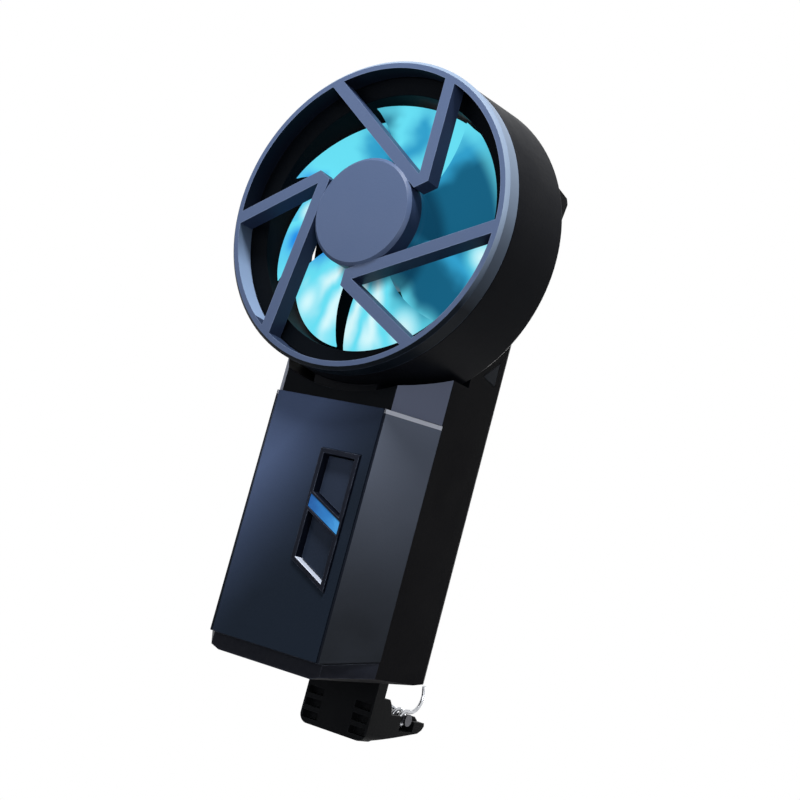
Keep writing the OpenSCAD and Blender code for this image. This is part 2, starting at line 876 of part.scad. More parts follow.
// Half width of the front at depth y, moved in by s square to the bevel
function bevel_x(y, s) = flat_hw - s * bevel_l / bevel_d + (y - panel_y) * bevel_run / bevel_d;

// Depth of the bevel at half width x, moved in by s square to the bevel
function bevel_y(x, s) = panel_y + (x - flat_hw + s * bevel_l / bevel_d) * bevel_d / bevel_run;

// Section of the neck, the body and the lip, with round back corners
module body_2d() {
    polygon([
        [-flat_hw, lip_y], [flat_hw, lip_y], [body_hw, edge_y],
        [body_hw, body_back_y - corner_r], [body_hw - corner_r, body_back_y],
        [corner_r - body_hw, body_back_y], [-body_hw, body_back_y - corner_r], [-body_hw, edge_y]
    ]);
    for (side = [-1, 1]) {
        translate([side * (body_hw - corner_r), body_back_y - corner_r])
            circle(r = corner_r);
    }
}

// Front view of the body, whose lip follows the cover's lower edge
module body_front_2d() {
    polygon([
        [-body_hw, horn_z], [body_hw, horn_z], [body_hw, lip_z + bevel_rise], [flat_hw - lip_in, lip_z],
        [lip_in - flat_hw, lip_z], [-body_hw, lip_z + bevel_rise]
    ]);
}

// Side view of the body, with its tilted underside and its round lower back edge
module body_side_2d() {
    front_y = head_y;
    polygon([
        [front_y, lip_z + (front_y - lip_y) * bottom_rise], [body_back_y - corner_r, back_low_z],
        [body_back_y, back_low_z + corner_r], [body_back_y, horn_z], [front_y, horn_z]
    ]);
    translate([body_back_y - corner_r, back_low_z + corner_r])
        circle(r = corner_r);
}

// Front view of the cover, grown by a clearance
module cover_2d(grow) {
    hw = cover_hw + grow;
    polygon([
        [-hw, cover_top_z + grow], [hw, cover_top_z + grow],
        [hw, cover_low_z + bevel_rise - grow], [flat_hw, cover_low_z - grow],
        [-flat_hw, cover_low_z - grow], [-hw, cover_low_z + bevel_rise - grow]
    ]);
}

// Side mark, a triangle that points to the front
module mark_2d(grow) {
    polygon([
        [mark_back_y + grow, mark_top_z + 2 * grow],
        [mark_back_y - mark_l - 2 * grow, mark_top_z - 0.85 * mark_h],
        [mark_back_y + grow, mark_top_z - mark_h - 2 * grow]
    ]);
}

module body_housing() {
    inner_hw = body_hw - wall;
    color([0.07, 0.07, 0.09])
        difference() {
            intersection() {
                upright(lip_z - far / 10, horn_z) body_2d();
                across(-far / 2, far / 2) body_side_2d();
                slab(head_y, body_back_y + 1) body_front_2d();
            }
            slab(head_y, edge_y + fit) cover_2d(fit);
            upright(inner_low_z, inner_top_z)
                translate([-inner_hw, edge_y])
                    square([2 * inner_hw, inner_back_y - edge_y]);
            rod(drum_r + saddle_gap, head_y - 1, drum_back_y + 2 * fit, 0, fan_z);
            rod(outlet_r, drum_back_y, body_back_y + 1, 0, fan_z);
            slab(foot_front_y - fit, foot_back_y + 2 * fit)
                panel_2d(foot_w / 2 + fit, inner_top_z - eps, foot_top_z);
            for (side = [-1, 1]) {
                rod(neck_screw_r + fit, foot_back_y, body_back_y + eps, side * neck_screw_x, neck_screw_z);
                rod(
                    neck_head_r + fit, body_back_y - neck_head_h, body_back_y + eps,
                    side * neck_screw_x, neck_screw_z
                );
                for (z = bar_screw_z) {
                    rod(bar_screw_r + fit, inner_back_y - eps, body_back_y + eps, side * bar_screw_x, z);
                    rod(
                        screw_head_r + fit, inner_back_y - eps, inner_back_y + screw_head_h,
                        side * bar_screw_x, z
                    );
                }
            }
            rod(guide_r + fit, inner_back_y - eps, body_back_y + eps, 0, guide_z);
            rod(screw_head_r + guide_r / 2 + fit, inner_back_y - eps, inner_back_y + screw_head_h, 0, guide_z);
            slab(board_back_y - fit, board_back_y + usb_h + fit)
                panel_2d(usb_w / 2 + fit, lip_z - 2, inner_low_z + eps);
            across(body_hw - mark_t, body_hw + 1) mark_2d(fit);
        }
}

// The cover's inner face at the flat front
cover_in_y = panel_y + cover_t;

module front_cover() {
    inner_hw = bevel_x(cover_in_y, cover_t);
    edge_hw = bevel_x(edge_y, cover_t);
    color([0.2, 0.21, 0.24])
        difference() {
            union() {
                intersection() {
                    upright(cover_low_z, cover_top_z)
                        polygon([
                            [-cover_hw, edge_y], [-flat_hw, panel_y], [flat_hw, panel_y], [cover_hw, edge_y],
                            [edge_hw, edge_y], [inner_hw, cover_in_y], [-inner_hw, cover_in_y],
                            [-edge_hw, edge_y]
                        ]);
                    slab(head_y, edge_y + eps) cover_2d(0);
                }
                board_posts(cover_in_y - eps, board_y - fit, screw_r + 0.5);
            }
            slab(head_y, panel_y + panel_t)
                panel_2d(flat_hw - panel_rim, cover_low_z - eps, cover_top_z + eps);
            slab(panel_y, cover_in_y + eps) frame_outline_2d(fit);
            board_posts(cover_in_y + 0.4, board_y, screw_r);
        }
}

module front_panel() {
    color([0.13, 0.16, 0.25])
        difference() {
            slab(panel_y, panel_y + panel_t - fit / 2)
                panel_2d(flat_hw - panel_rim - 2 * fit, cover_low_z, cover_top_z);
            slab(panel_y - eps, panel_y + panel_t) frame_outline_2d(fit);
        }
}

module side_mark() {
    color([0.3, 0.31, 0.33])
        across(body_hw - mark_t + fit, body_hw) mark_2d(0);
}

module neck_screws() {
    color("dimgray")
        for (side = [-1, 1]) {
            screw(
                neck_screw_r - fit / 2, neck_head_r, neck_head_h - 2 * fit, neck_screw_y + fit,
                body_back_y - fit, side * neck_screw_x, neck_screw_z, true
            );
        }
}

// Keys and lit bar

// Four corners of a piece of the key frame: left and right edge, then the height of its upper and
// lower lines at the frame's left edge with the slope of each
module slanted_2d(left, right, top_z, top_slope, low_z, low_slope) {
    polygon([
        [left, top_z - (left - frame_x) * top_slope], [right, top_z - (right - frame_x) * top_slope],
        [right, low_z - (right - frame_x) * low_slope], [left, low_z - (left - frame_x) * low_slope]
    ]);
}

module frame_outline_2d(grow) {
    slanted_2d(
        frame_x - grow, frame_x1 + grow, frame_top_z + grow, 0,
        frame_top_z - frame_h - grow * slant_k, slant
    );
}

// The window of the upper key, drawn in by a gap
module upper_window_2d(gap, side_gap) {
    slanted_2d(
        frame_x + rim_w + side_gap, frame_x1 - rim_w - side_gap, frame_top_z - rim_w - gap, 0,
        frame_top_z - bar_drop + (web_w + gap) * slant_k, slant
    );
}

// The window of the lower key, drawn in by a gap
module lower_window_2d(gap, side_gap) {
    slanted_2d(
        frame_x + rim_w + side_gap, frame_x1 - rim_w - side_gap,
        frame_top_z - bar_drop - bar_h - (web_w + gap) * slant_k, slant,
        frame_top_z - frame_h + (rim_w + gap) * slant_k, slant
    );
}

// The slot of the lit bar, drawn in by a gap
module bar_slot_2d(gap) {
    inset = rim_w / 2 + gap;
    slanted_2d(
        frame_x + inset, frame_x1 - inset, frame_top_z - bar_drop - gap * slant_k, slant,
        frame_top_z - bar_drop - bar_h + gap * slant_k, slant
    );
}

module key_frame() {
    color([0.04, 0.05, 0.08])
        difference() {
            union() {
                slab(panel_y - rim_proud, frame_back_y) frame_outline_2d(0);
                slab(cover_in_y + fit, frame_back_y) frame_outline_2d(frame_flange);
            }
            slab(panel_y - far, frame_back_y + eps) {
                upper_window_2d(0, 0);
                lower_window_2d(0, 0);
                bar_slot_2d(0);
            }
        }
}

module light_bar() {
    middle_z = frame_top_z - bar_drop - bar_h / 2 - frame_w / 2 * slant;
    middle_x = frame_x + frame_w / 2;
    color([0.15, 0.5, 0.85]) {
        slab(panel_y - rim_proud + 0.1, frame_back_y) bar_slot_2d(fit);
        slab(frame_back_y - eps, guide_tip_y)
            translate([middle_x, middle_z])
                square([2 * guide_t, guide_t], center = true);
    }
}

// Middle of a key's window
key_x = frame_x + frame_w / 2;
upper_key_z = frame_top_z - (rim_w + bar_drop - web_w * slant_k + frame_w / 2 * slant) / 2;
lower_key_z = frame_top_z - (bar_drop + bar_h + frame_h + (web_w - rim_w) * slant_k) / 2 - frame_w / 2 * slant;

module power_key() {
    color([0.07, 0.08, 0.11]) {
        slab(key_face_y, key_back_y) upper_window_2d(key_gap, key_gap);
        slab(key_flange_y, key_back_y) upper_window_2d(key_gap, -key_flange);
        rod(plunger_r, key_back_y - eps, post_tip_y, key_x, upper_key_z);
    }
}

module speed_key() {
    color([0.07, 0.08, 0.11]) {
        slab(key_face_y, key_back_y) lower_window_2d(key_gap, key_gap);
        slab(key_flange_y, key_back_y) lower_window_2d(key_gap, -key_flange);
        rod(plunger_r, key_back_y - eps, post_tip_y, key_x, lower_key_z);
    }
}

// Electronics

board_top_z = inner_top_z - 1;
board_low_z = inner_low_z + 0.6;
board_hw = board_w / 2;
post_x = board_hw - 1.4;
post_z = [board_low_z + 1.4, board_top_z - 1.4];

module board_posts(front, back, r) {
    for (side = [-1, 1]) {
        for (z = post_z) {
            rod(r, front, back, side * post_x, z);
        }
    }
}

module tact_switches() {
    color([0.2, 0.2, 0.21])
        for (z = [upper_key_z, lower_key_z]) {
            slab(board_y - switch_h, board_y)
                translate([key_x, z])
                    square(switch_w, center = true);
            rod(plunger_r, board_y - switch_h - plunger_h, board_y - switch_h + eps, key_x, z);
        }
}

module bar_led() {
    led_z = frame_top_z - bar_drop - bar_h / 2 - frame_w / 2 * slant;
    color("white")
        slab(board_y - bar_led_h, board_y)
            translate([key_x, led_z])
                square([led_w, led_w / 2], center = true);
}

module main_board() {
    color([0.04, 0.22, 0.12])
        difference() {
            slab(board_y, board_back_y) panel_2d(board_hw, board_low_z, board_top_z);
            board_posts(board_y - eps, board_back_y + eps, screw_r + fit);
        }
}

// Charge chip, boost coil and motor driver on the front, socket of the fan lead on the back
module board_chips() {
    socket_w = 4;
    chip_x = -board_hw / 2;
    chips = [[3, 3, 0.8], [3.2, 2.6, 1.4], [2.6, 3.4, 0.9]];
    pitch = (post_z[1] - post_z[0]) / (len(chips) + 1);
    color([0.1, 0.1, 0.11]) {
        for (k = [0 : len(chips) - 1]) {
            slab(board_y - chips[k][2], board_y)
                translate([chip_x, post_z[0] + pitch * (k + 1)])
                    square([chips[k][0], chips[k][1]], center = true);
        }
        slab(board_back_y, lead_y - lead_r - 2 * fit)
            translate([0, inner_top_z - lead_tail])
                square([socket_w, lead_tail], center = true);
    }
}

module board_screws() {
    color("dimgray")
        for (side = [-1, 1]) {
            for (z = post_z) {
                screw(
                    screw_r - fit / 2, screw_head_r, screw_head_h, cover_in_y + 0.6,
                    board_back_y + screw_head_h, side * post_x, z, true
                );
            }
        }
}

// Outline of the inlet's shell: a rectangle with round ends
module usb_2d(w, h) {
    square([w - h, h], center = true);
    for (side = [-1, 1]) {
        translate([side * (w - h) / 2, 0])
            circle(r = h / 2);
    }
}

module usb_inlet() {
    tongue_set = 2 * usb_wall;
    mouth_z = lip_z + (board_back_y - lip_y) * bottom_rise + usb_h / 2 * bottom_rise;
    middle_y = board_back_y + usb_h / 2;
    color("silver")
        difference() {
            union() {
                upright(mouth_z, mouth_z + usb_l)
                    translate([0, middle_y])
                        usb_2d(usb_w, usb_h - fit);
                upright(mouth_z + tongue_set, mouth_z + usb_l)
                    translate([0, middle_y])
                        square([tongue_w, tongue_t], center = true);
            }
            difference() {
                upright(mouth_z - eps, mouth_z + usb_l - usb_wall)
                    translate([0, middle_y])
                        usb_2d(usb_w - 2 * usb_wall, usb_h - fit - 2 * usb_wall);
                upright(mouth_z + tongue_set, mouth_z + usb_l)
                    translate([0, middle_y])
                        square([tongue_w, tongue_t], center = true);
            }
        }
}

battery_back_y = inner_back_y - tape_t;
battery_low_z = inner_low_z + 0.5;

module battery() {
    color([0.25, 0.35, 0.5])
        slab(battery_back_y - battery_t, battery_back_y)
            panel_2d(battery_w / 2, battery_low_z, battery_low_z + battery_h);
}

module battery_tape() {
    color("white")
        slab(battery_back_y, inner_back_y)
            difference() {
                panel_2d(bar_screw_x - 2, battery_low_z + 1, battery_low_z + battery_h - 1);
                translate([0, guide_z])
                    circle(r = 2 * screw_head_r + guide_r);
            }
}

// Clamp

// Side view of the hook, from the bar's lid back to the lip
module hook_2d() {
    top_z = hook_z + hook_t;
    lip_low_z = hook_pad_z - lip_reach;
    polygon([
        [lid_back_y, hook_z - 1], [lid_back_y, top_z + (hook_tip_y - lid_back_y) * tan(hook_tilt)],
        [hook_tip_y - tip_chamfer, top_z + tip_chamfer * tan(hook_tilt)], [hook_tip_y, top_z - tip_chamfer],
        [slot_d + lip_t / 2, lip_low_z], [slot_d + lip_t / 4, lip_low_z], [slot_d, lip_low_z + tip_chamfer],
        [slot_d, hook_z], [bar_back_y, hook_z], [bar_back_y, hook_z - 1]
    ]);
}

module clamp_bar() {
    color([0.05, 0.05, 0.06])
        difference() {
            union() {
                slab(lid_back_y, bar_back_y) panel_2d(bar_hw, bar_low_z, bar_top_z);
                across(-hook_w / 2, hook_w / 2) hook_2d();
            }
            slab(lid_back_y - eps, slide_back_y) {
                panel_2d(plate_w / 2 + slide_gap, bar_low_z - eps, slide_end_z);
                panel_2d(return_hw, slide_end_z - eps, anchor_z - anchor_r);
            }
            for (side = [-1, 1]) {
                for (z = bar_screw_z) {
                    rod(bar_screw_r, lid_back_y - eps, bar_back_y - bar_wall / 2, side * bar_screw_x, z);
                }
            }
            rod(guide_r, slide_back_y - eps, bar_back_y - bar_wall / 3, 0, guide_z);
        }
}

module bar_lid() {
    color([0.05, 0.05, 0.06])
        difference() {
            slab(body_back_y, lid_back_y) panel_2d(bar_hw, bar_low_z, bar_top_z);
            for (side = [-1, 1]) {
                for (z = bar_screw_z) {
                    rod(bar_screw_r + fit, body_back_y - eps, lid_back_y + eps, side * bar_screw_x, z);
                }
            }
            rod(guide_r + fit, body_back_y - eps, lid_back_y + eps, 0, guide_z);
        }
}

module bar_screws() {
    color("dimgray")
        for (side = [-1, 1]) {
            for (z = bar_screw_z) {
                screw(
                    bar_screw_r - fit / 2, screw_head_r, screw_head_h - fit, inner_back_y + fit,
                    bar_back_y - bar_wall / 2 - fit, side * bar_screw_x, z, false
                );
            }
        }
}

module guide_screw() {
    color("dimgray")
        screw(
            guide_r - fit / 2, screw_head_r + guide_r / 2, screw_head_h - fit, inner_back_y + fit,
            bar_back_y - bar_wall / 3 - fit, 0, guide_z, false
        );
}

// Soft pad with cross grooves that leave a flat land at the origin
module grip_pad() {
    grooves_up = floor((pad_high_z - pad_groove_pitch) / pad_groove_pitch);
    grooves_down = floor((-pad_low_z - pad_groove_pitch) / pad_groove_pitch);
    color([0.1, 0.1, 0.11])
        difference() {
            slab(bar_back_y, 0) panel_2d(pad_w / 2, pad_low_z, pad_high_z);
            for (k = [-grooves_down : grooves_up]) {
                z = (k + 0.5) * pad_groove_pitch;
                slab(-pad_groove_d, 1) panel_2d(pad_w, z - pad_groove_w / 2, z + pad_groove_w / 2);
            }
        }
}

module hook_pad() {
    color([0.1, 0.1, 0.11])
        slab(0.6, slot_d - 0.4) panel_2d(hook_w / 2 - 0.5, hook_pad_z, hook_z);
}

module return_spring() {
    color("silver")
        translate([0, return_y, return_low_z])
            difference() {
                cylinder(r = return_r, h = return_l);
                translate([0, 0, -eps])
                    cylinder(r = return_r / 2, h = return_l + 2 * eps);
            }
}

// Jaw

// Front view of the slide plate, with round lower corners and the slot of the guide screw
module plate_2d() {
    hw = plate_w / 2;
    slot_r = guide_r + slide_gap;
    difference() {
        union() {
            panel_2d(hw, jaw_low_z + plate_r, plate_top_z);
            panel_2d(hw - plate_r, jaw_low_z, plate_top_z);
            for (side = [-1, 1]) {
                translate([side * (hw - plate_r), jaw_low_z + plate_r])
                    circle(r = plate_r);
            }
        }
        panel_2d(slot_r, guide_z, slot_high_z - slot_r);
        for (z = [guide_z, slot_high_z - slot_r]) {
            translate([0, z])
                circle(r = slot_r);
        }
    }
}

// Side view of the foot and of the block at its root
module foot_2d() {
    tip_bevel = 1.2;
    root_bevel = 0.6;
    root_bite_y = plate_back_y - 1;
    tip_low_z = jaw_low_z + (foot_tip_y - tip_bevel - plate_front_y) * foot_rise;
    root_z = foot_pad_z + root_h;
    root_y = plate_back_y + root_d;
    polygon([
        [root_bite_y, jaw_low_z + (root_bite_y - plate_front_y) * foot_rise],
        [root_bite_y, root_z], [root_y - root_bevel, root_z], [root_y, root_z - root_bevel],
        [root_y + 0.5, foot_z], [foot_tip_y - 0.9, foot_z], [foot_tip_y - 0.2, foot_z - 0.4],
        [foot_tip_y, foot_z - 0.9], [foot_tip_y - 0.4, (foot_z + tip_low_z) / 2 - 0.5],
        [foot_tip_y - tip_bevel, tip_low_z]
    ]);
}

module jaw_plate() {
    hw = plate_w / 2;
    color([0.08, 0.08, 0.09])
        difference() {
            intersection() {
                union() {
                    slab(plate_front_y, plate_back_y) plate_2d();
                    across(-hw, hw) foot_2d();
                }
                slab(plate_front_y - 1, foot_tip_y + 1) {
                    panel_2d(hw, jaw_low_z + plate_r, plate_top_z);
                    panel_2d(hw - plate_r, jaw_low_z, plate_top_z);
                    for (side = [-1, 1]) {
                        translate([side * (hw - plate_r), jaw_low_z + plate_r])
                            circle(r = plate_r);
                    }
                }
            }
            for (side = [-1, 1]) {
                for (k = [0 : notch_count - 1]) {
                    slab(plate_front_y - eps, plate_front_y + notch_d)
                        translate([side * (hw - notch_rim - notch_w / 2), jaw_low_z + 1.1 + k * notch_pitch])
                            square([notch_w, notch_h], center = true);
                }
            }
            slab(coil_y - pocket_hw, coil_y + pocket_hw)
                translate([pocket_x, pocket_low_z])
                    square([plate_w, far / 20]);
            slab(coil_y, foot_tip_y + 1)
                translate([coil_x1 - wire_d / 2 - pocket_gap, foot_z - leg_dip])
                    square([plate_w, far / 20]);
            across(pin_x0, pocket_x + eps)
                translate([coil_y, coil_z])
                    circle(r = pin_r + fit / 2);
        }
}

module foot_pad() {
    side_gap = 0.4;
    root_gap = 0.8;
    tip_gap_y = 1;
    color([0.12, 0.12, 0.13])
        slab(plate_back_y + root_d + root_gap, foot_tip_y - tip_gap_y)
            translate([side_gap - plate_w / 2, foot_z])
                square([plate_w / 2 + pin_x0 - 2 * side_gap, foot_pad_t]);
}

module finger_pin() {
    color("lightgray") {
        across(pin_x0 + fit, pin_x1)
            translate([coil_y, coil_z])
                circle(r = pin_r);
        across(pin_x1 - pin_head_t, pin_x1)
            translate([coil_y, coil_z])
                circle(r = pin_head_r);
    }
}

// Middle line of the wire: tail, coil, straight run, bend and end
coil_steps = round(coil_turns * curl_rings);
tail_points = [[coil_x0, coil_y - coil_r, coil_z - tail_l]];
coil_points = [for (k = [0 : coil_steps])
    let (a = 180 - 360 * coil_turns * k / coil_steps)
        [coil_x0 + coil_l * k / coil_steps, coil_y + coil_r * cos(a), coil_z + coil_r * sin(a)]];
bend_y = coil_y + leg_run;
bend_z = coil_z + coil_r + leg_r;
bend_points = [for (k = [0 : bend_rings])
    let (a = -90 + (90 + leg_end_a) * k / bend_rings)
        [coil_x1, bend_y + leg_r * cos(a), bend_z + leg_r * sin(a)]];
end_points = [bend_points[bend_rings] + tail_l * [0, -sin(leg_end_a), cos(leg_end_a)]];
wire_points = concat(tail_points, coil_points, bend_points, end_points);

function unit(v) = v / norm(v);

// One ring of the wire's skin, square to the line
function wire_ring(points, k) =
    let (
        before = points[max(k - 1, 0)],
        after = points[min(k + 1, len(points) - 1)],
        along = unit(after - before),
        side = unit([1, 0, 0] - along[0] * along),
        up = cross(along, side)
    )
    [for (s = [0 : wire_sides - 1])
        let (a = 360 * s / wire_sides)
            points[k] + wire_d / 2 * (cos(a) * side + sin(a) * up)];

module tube(points) {
    count = len(points);
    skin = [for (k = [0 : count - 1]) each wire_ring(points, k)];
    last = (count - 1) * wire_sides;
    walls = [for (k = [0 : count - 2], s = [0 : wire_sides - 1])
        let (
            next = (s + 1) % wire_sides,
            a = k * wire_sides + s,
            b = k * wire_sides + next,
            c = (k + 1) * wire_sides + next,
            d = (k + 1) * wire_sides + s
        )
        each [[a, c, b], [a, d, c]]];
    first_end = [for (s = [1 : wire_sides - 2]) [0, s, s + 1]];
    last_end = [for (s = [1 : wire_sides - 2]) [last, last + s + 1, last + s]];
    polyhedron(points = skin, faces = concat(walls, first_end, last_end));
}

// Least gap of the wire to itself, between points more than half a turn apart
apart = curl_rings / 2 + 1;
gaps = [for (i = [0 : len(wire_points) - 1], j = [0 : len(wire_points) - 1])
    if (j - i >= apart) norm(wire_points[j] - wire_points[i]) - wire_d];
echo(least_wire_gap = min(gaps));

module wire_finger() {
    color("silver") tube(wire_points);
}

front_grille();
drum_housing();
air_duct();
rear_guard();
guard_screws();
impeller();
rotor_yoke();
magnet_ring();
rotor_shaft();
bearing_sleeve();
stator_core();
stator_windings();
motor_board();
blade_leds();
fan_lead();
body_housing();
front_cover();
front_panel();
side_mark();
neck_screws();
key_frame();
light_bar();
power_key();
speed_key();
tact_switches();
bar_led();
main_board();
board_chips();
board_screws();
usb_inlet();
battery();
battery_tape();
clamp_bar();
bar_lid();
bar_screws();
guide_screw();
grip_pad();
hook_pad();
return_spring();
jaw_plate();
foot_pad();
finger_pin();
wire_finger();
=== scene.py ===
"""Looks of the phone cooling fan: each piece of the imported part, rounded, finished and lit."""
import logging
import math
from dataclasses import dataclass
from enum import Enum
from typing import Callable, Iterator, Sequence, Union

import bmesh
import bpy
from mathutils import Matrix, Vector


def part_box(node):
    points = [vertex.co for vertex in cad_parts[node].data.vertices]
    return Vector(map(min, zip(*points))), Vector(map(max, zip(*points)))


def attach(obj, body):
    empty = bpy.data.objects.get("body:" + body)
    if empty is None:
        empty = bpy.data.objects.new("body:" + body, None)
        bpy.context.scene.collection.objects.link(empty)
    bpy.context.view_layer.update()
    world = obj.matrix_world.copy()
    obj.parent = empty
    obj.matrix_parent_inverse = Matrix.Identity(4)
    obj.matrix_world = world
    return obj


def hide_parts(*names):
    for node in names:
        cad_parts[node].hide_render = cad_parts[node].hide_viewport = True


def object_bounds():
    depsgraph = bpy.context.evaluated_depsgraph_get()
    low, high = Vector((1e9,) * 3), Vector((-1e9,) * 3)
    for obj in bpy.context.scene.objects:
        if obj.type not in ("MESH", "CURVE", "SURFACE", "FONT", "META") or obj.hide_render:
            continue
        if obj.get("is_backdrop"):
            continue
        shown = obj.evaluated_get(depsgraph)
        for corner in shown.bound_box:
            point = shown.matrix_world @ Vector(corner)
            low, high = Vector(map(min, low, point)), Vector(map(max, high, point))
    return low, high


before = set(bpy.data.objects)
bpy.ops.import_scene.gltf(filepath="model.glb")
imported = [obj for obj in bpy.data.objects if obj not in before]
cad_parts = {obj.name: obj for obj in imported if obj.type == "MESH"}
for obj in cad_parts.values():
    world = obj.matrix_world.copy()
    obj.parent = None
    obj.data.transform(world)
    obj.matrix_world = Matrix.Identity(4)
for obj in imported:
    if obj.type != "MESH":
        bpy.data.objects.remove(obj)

CAD_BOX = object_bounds()
MM = 0.001
LOG = logging.getLogger("cooling_fan")

Colour = tuple[float, float, float]
Tone = tuple[int, int, int]
Point = tuple[float, float, float]
Node = bpy.types.Node
Socket = bpy.types.NodeSocket
Tree = bpy.types.NodeTree
Material = bpy.types.Material
Piece = bpy.types.Object
Face = bmesh.types.BMFace
Feed = Union[float, Sequence[float], Socket]
FaceTest = Callable[[Face], bool]

AXIS: Point = (0.0, -25.3, 17.0)


def corners(node: str) -> tuple[Vector, Vector]:
    """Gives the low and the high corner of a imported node.

    Args:
        node: The node's name.

    Returns:
        The two corners in millimetres.
    """
    low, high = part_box(node)
    return Vector(low) / MM, Vector(high) / MM


def tone(red: int, green: int, blue: int) -> Colour:
    """Gives the linear colour of a tone written as on a paint card.

    Args:
        red: Red share, 0 to 255.
        green: Green share, 0 to 255.
        blue: Blue share, 0 to 255.

    Returns:
        The same tone in linear light.
    """
    shares = (red / 255, green / 255, blue / 255)
    return tuple(s / 12.92 if s <= 0.04045 else ((s + 0.055) / 1.055) ** 2.4 for s in shares)


class Slot(str, Enum):
    """Finish names, one for each look of the part."""

    GRILLE = "grille_slate"
    BLACK = "black_plastic"
    BLADE = "blade_clear"
    PANEL = "navy_panel"
    COVER = "cover_grey"
    KEY = "key_black"
    LIT = "lit_blue"
    MARK = "mark_grey"
    JAW = "jaw_black"
    RUBBER = "pad_rubber"
    SPRING = "spring_steel"
    SCREW = "screw_steel"
    COPPER = "copper_wire"
    INLET = "usb_steel"


class Rides(str, Enum):
    """The bodies that pieces move with."""

    FRAME = "frame"
    ROTOR = "rotor"
    JAW = "jaw"
    FINGER = "finger"
    UPPER_KEY = "upper_key"
    LOWER_KEY = "lower_key"


class Wiring:
    """Short ways to place and join the nodes of one tree."""

    def __init__(self, tree: Tree) -> None:
        """Keeps the tree and empties it."""
        self.tree = tree
        tree.nodes.clear()

    def place(self, kind: str, **settings: object) -> Node:
        """Places a node.

        Args:
            kind: The node's kind without its common prefix.
            **settings: Properties to set on it.

        Returns:
            The new node.
        """
        node = self.tree.nodes.new("ShaderNode" + kind)
        for name, value in settings.items():
            setattr(node, name, value)
        return node

    def feed(self, socket: Socket, value: Feed) -> None:
        """Joins a socket to another one, or sets its own value.

        Args:
            socket: The input to feed.
            value: A socket, a number or a colour.
        """
        if isinstance(value, Socket):
            self.tree.links.new(value, socket)
        elif isinstance(value, (int, float)):
            socket.default_value = value
        else:
            socket.default_value = (*value, 1.0) if socket.type == "RGBA" else tuple(value)

    def fill(self, node: Node, entries: dict[str, Feed]) -> None:
        """Feeds several inputs of a node.

        Args:
            node: The node.
            entries: Names of its inputs and what each of them takes.
        """
        for name, entry in entries.items():
            self.feed(node.inputs[name], entry)

    def where(self) -> Socket:
        """Gives the place on a piece, in the piece's own frame."""
        return self.place("TexCoord").outputs["Object"]

    def axes(self, vector: Feed) -> Sequence[Socket]:
        """Splits a vector.

        Args:
            vector: The vector.

        Returns:
            The sockets of its three shares.
        """
        node = self.place("SeparateXYZ")
        self.feed(node.inputs[0], vector)
        return tuple(node.outputs)

    def blend(self, share: Feed, first: Socket, second: Socket, output: str) -> None:
        """Blends two shaders and hands the result to the tree's output.

        Args:
            share: Share of the second shader.
            first: First shader.
            second: Second shader.
            output: Kind of the output node.
        """
        node = self.place("MixShader")
        for socket, entry in zip(node.inputs, (share, first, second)):
            self.feed(socket, entry)
        self.feed(self.place(output).inputs["Surface"], node.outputs[0])

    def math(self, operation: str, first: Feed, second: Feed = 0.0, clamp: bool = False) -> Socket:
        """Places a Math node.

        Args:
            operation: What it does with its values.
            first: First value.
            second: Second value.
            clamp: Whether the result stays from 0 to 1.

        Returns:
            The result's socket.
        """
        node = self.place("Math", operation=operation, use_clamp=clamp)
        self.feed(node.inputs[0], first)
        self.feed(node.inputs[1], second)
        return node.outputs[0]

    def spread(self, value: Feed, low: Feed, high: Feed, to_low: Feed = 0.0, to_high: Feed = 1.0,
               smooth: bool = False) -> Socket:
        """Spreads one span of values over another.

        Args:
            value: The value to spread.
            low: Low end of its span.
            high: High end of its span.
            to_low: What the low end becomes.
            to_high: What the high end becomes.
            smooth: Whether it eases in and out.

        Returns:
            The result's socket.
        """
        node = self.place("MapRange", interpolation_type="SMOOTHSTEP" if smooth else "LINEAR")
        for socket, entry in zip(node.inputs, (value, low, high, to_low, to_high)):
            self.feed(socket, entry)
        return node.outputs[0]

    def mix(self, share: Feed, first: Feed, second: Feed) -> Socket:
        """Mixes two colours.

        Args:
            share: Share of the second colour.
            first: First colour.
            second: Second colour.

        Returns:
            The mixed colour's socket.
        """
        node = self.place("Mix", data_type="RGBA")
        self.feed(node.inputs[0], share)
        self.feed(node.inputs[6], first)
        self.feed(node.inputs[7], second)
        return node.outputs[2]

    def noise(self, where: Feed, scale: Feed, detail: float = 2.0, distortion: float = 0.0) -> Socket:
        """Places soft noise.

        Args:
            where: Coordinates.
            scale: Clouds in a metre.
            detail: Finer layers on top.
            distortion: How far the clouds are drawn out of shape.

        Returns:
            The noise value's socket.
        """
        node = self.place("TexNoise")
        self.fill(node, {"Vector": where, "Scale": scale, "Detail": detail, "Distortion": distortion})
        return node.outputs["Fac"]

    def ramp(self, value: Feed, stops: Sequence[tuple[float, Colour]]) -> Socket:
        """Turns a value into a colour along a row of tones that flow softly into each other.

        Args:
            value: Place along the row, 0 to 1.
            stops: Places and their tones, in order.

        Returns:
            The colour's socket.
        """
        node = self.place("ValToRGB")
        node.color_ramp.interpolation = "EASE"
        points = node.color_ramp.elements
        while len(points) < len(stops):
            points.new(0.5)
        for point, (place, shade) in zip(points, stops):
            point.position, point.color = place, (*shade, 1.0)
        self.feed(node.inputs[0], value)
        return node.outputs[0]

    def effect(self, group: Tree, **values: Feed) -> Node:
        """Places a shared effect with this material's own values.

        Args:
            group: The effect.
            **values: Its inputs, with underscores for spaces.

        Returns:
            The group's node.
        """
        node = self.place("Group", node_tree=group)
        self.fill(node, {name.replace("_", " ").title(): value for name, value in values.items()})
        return node


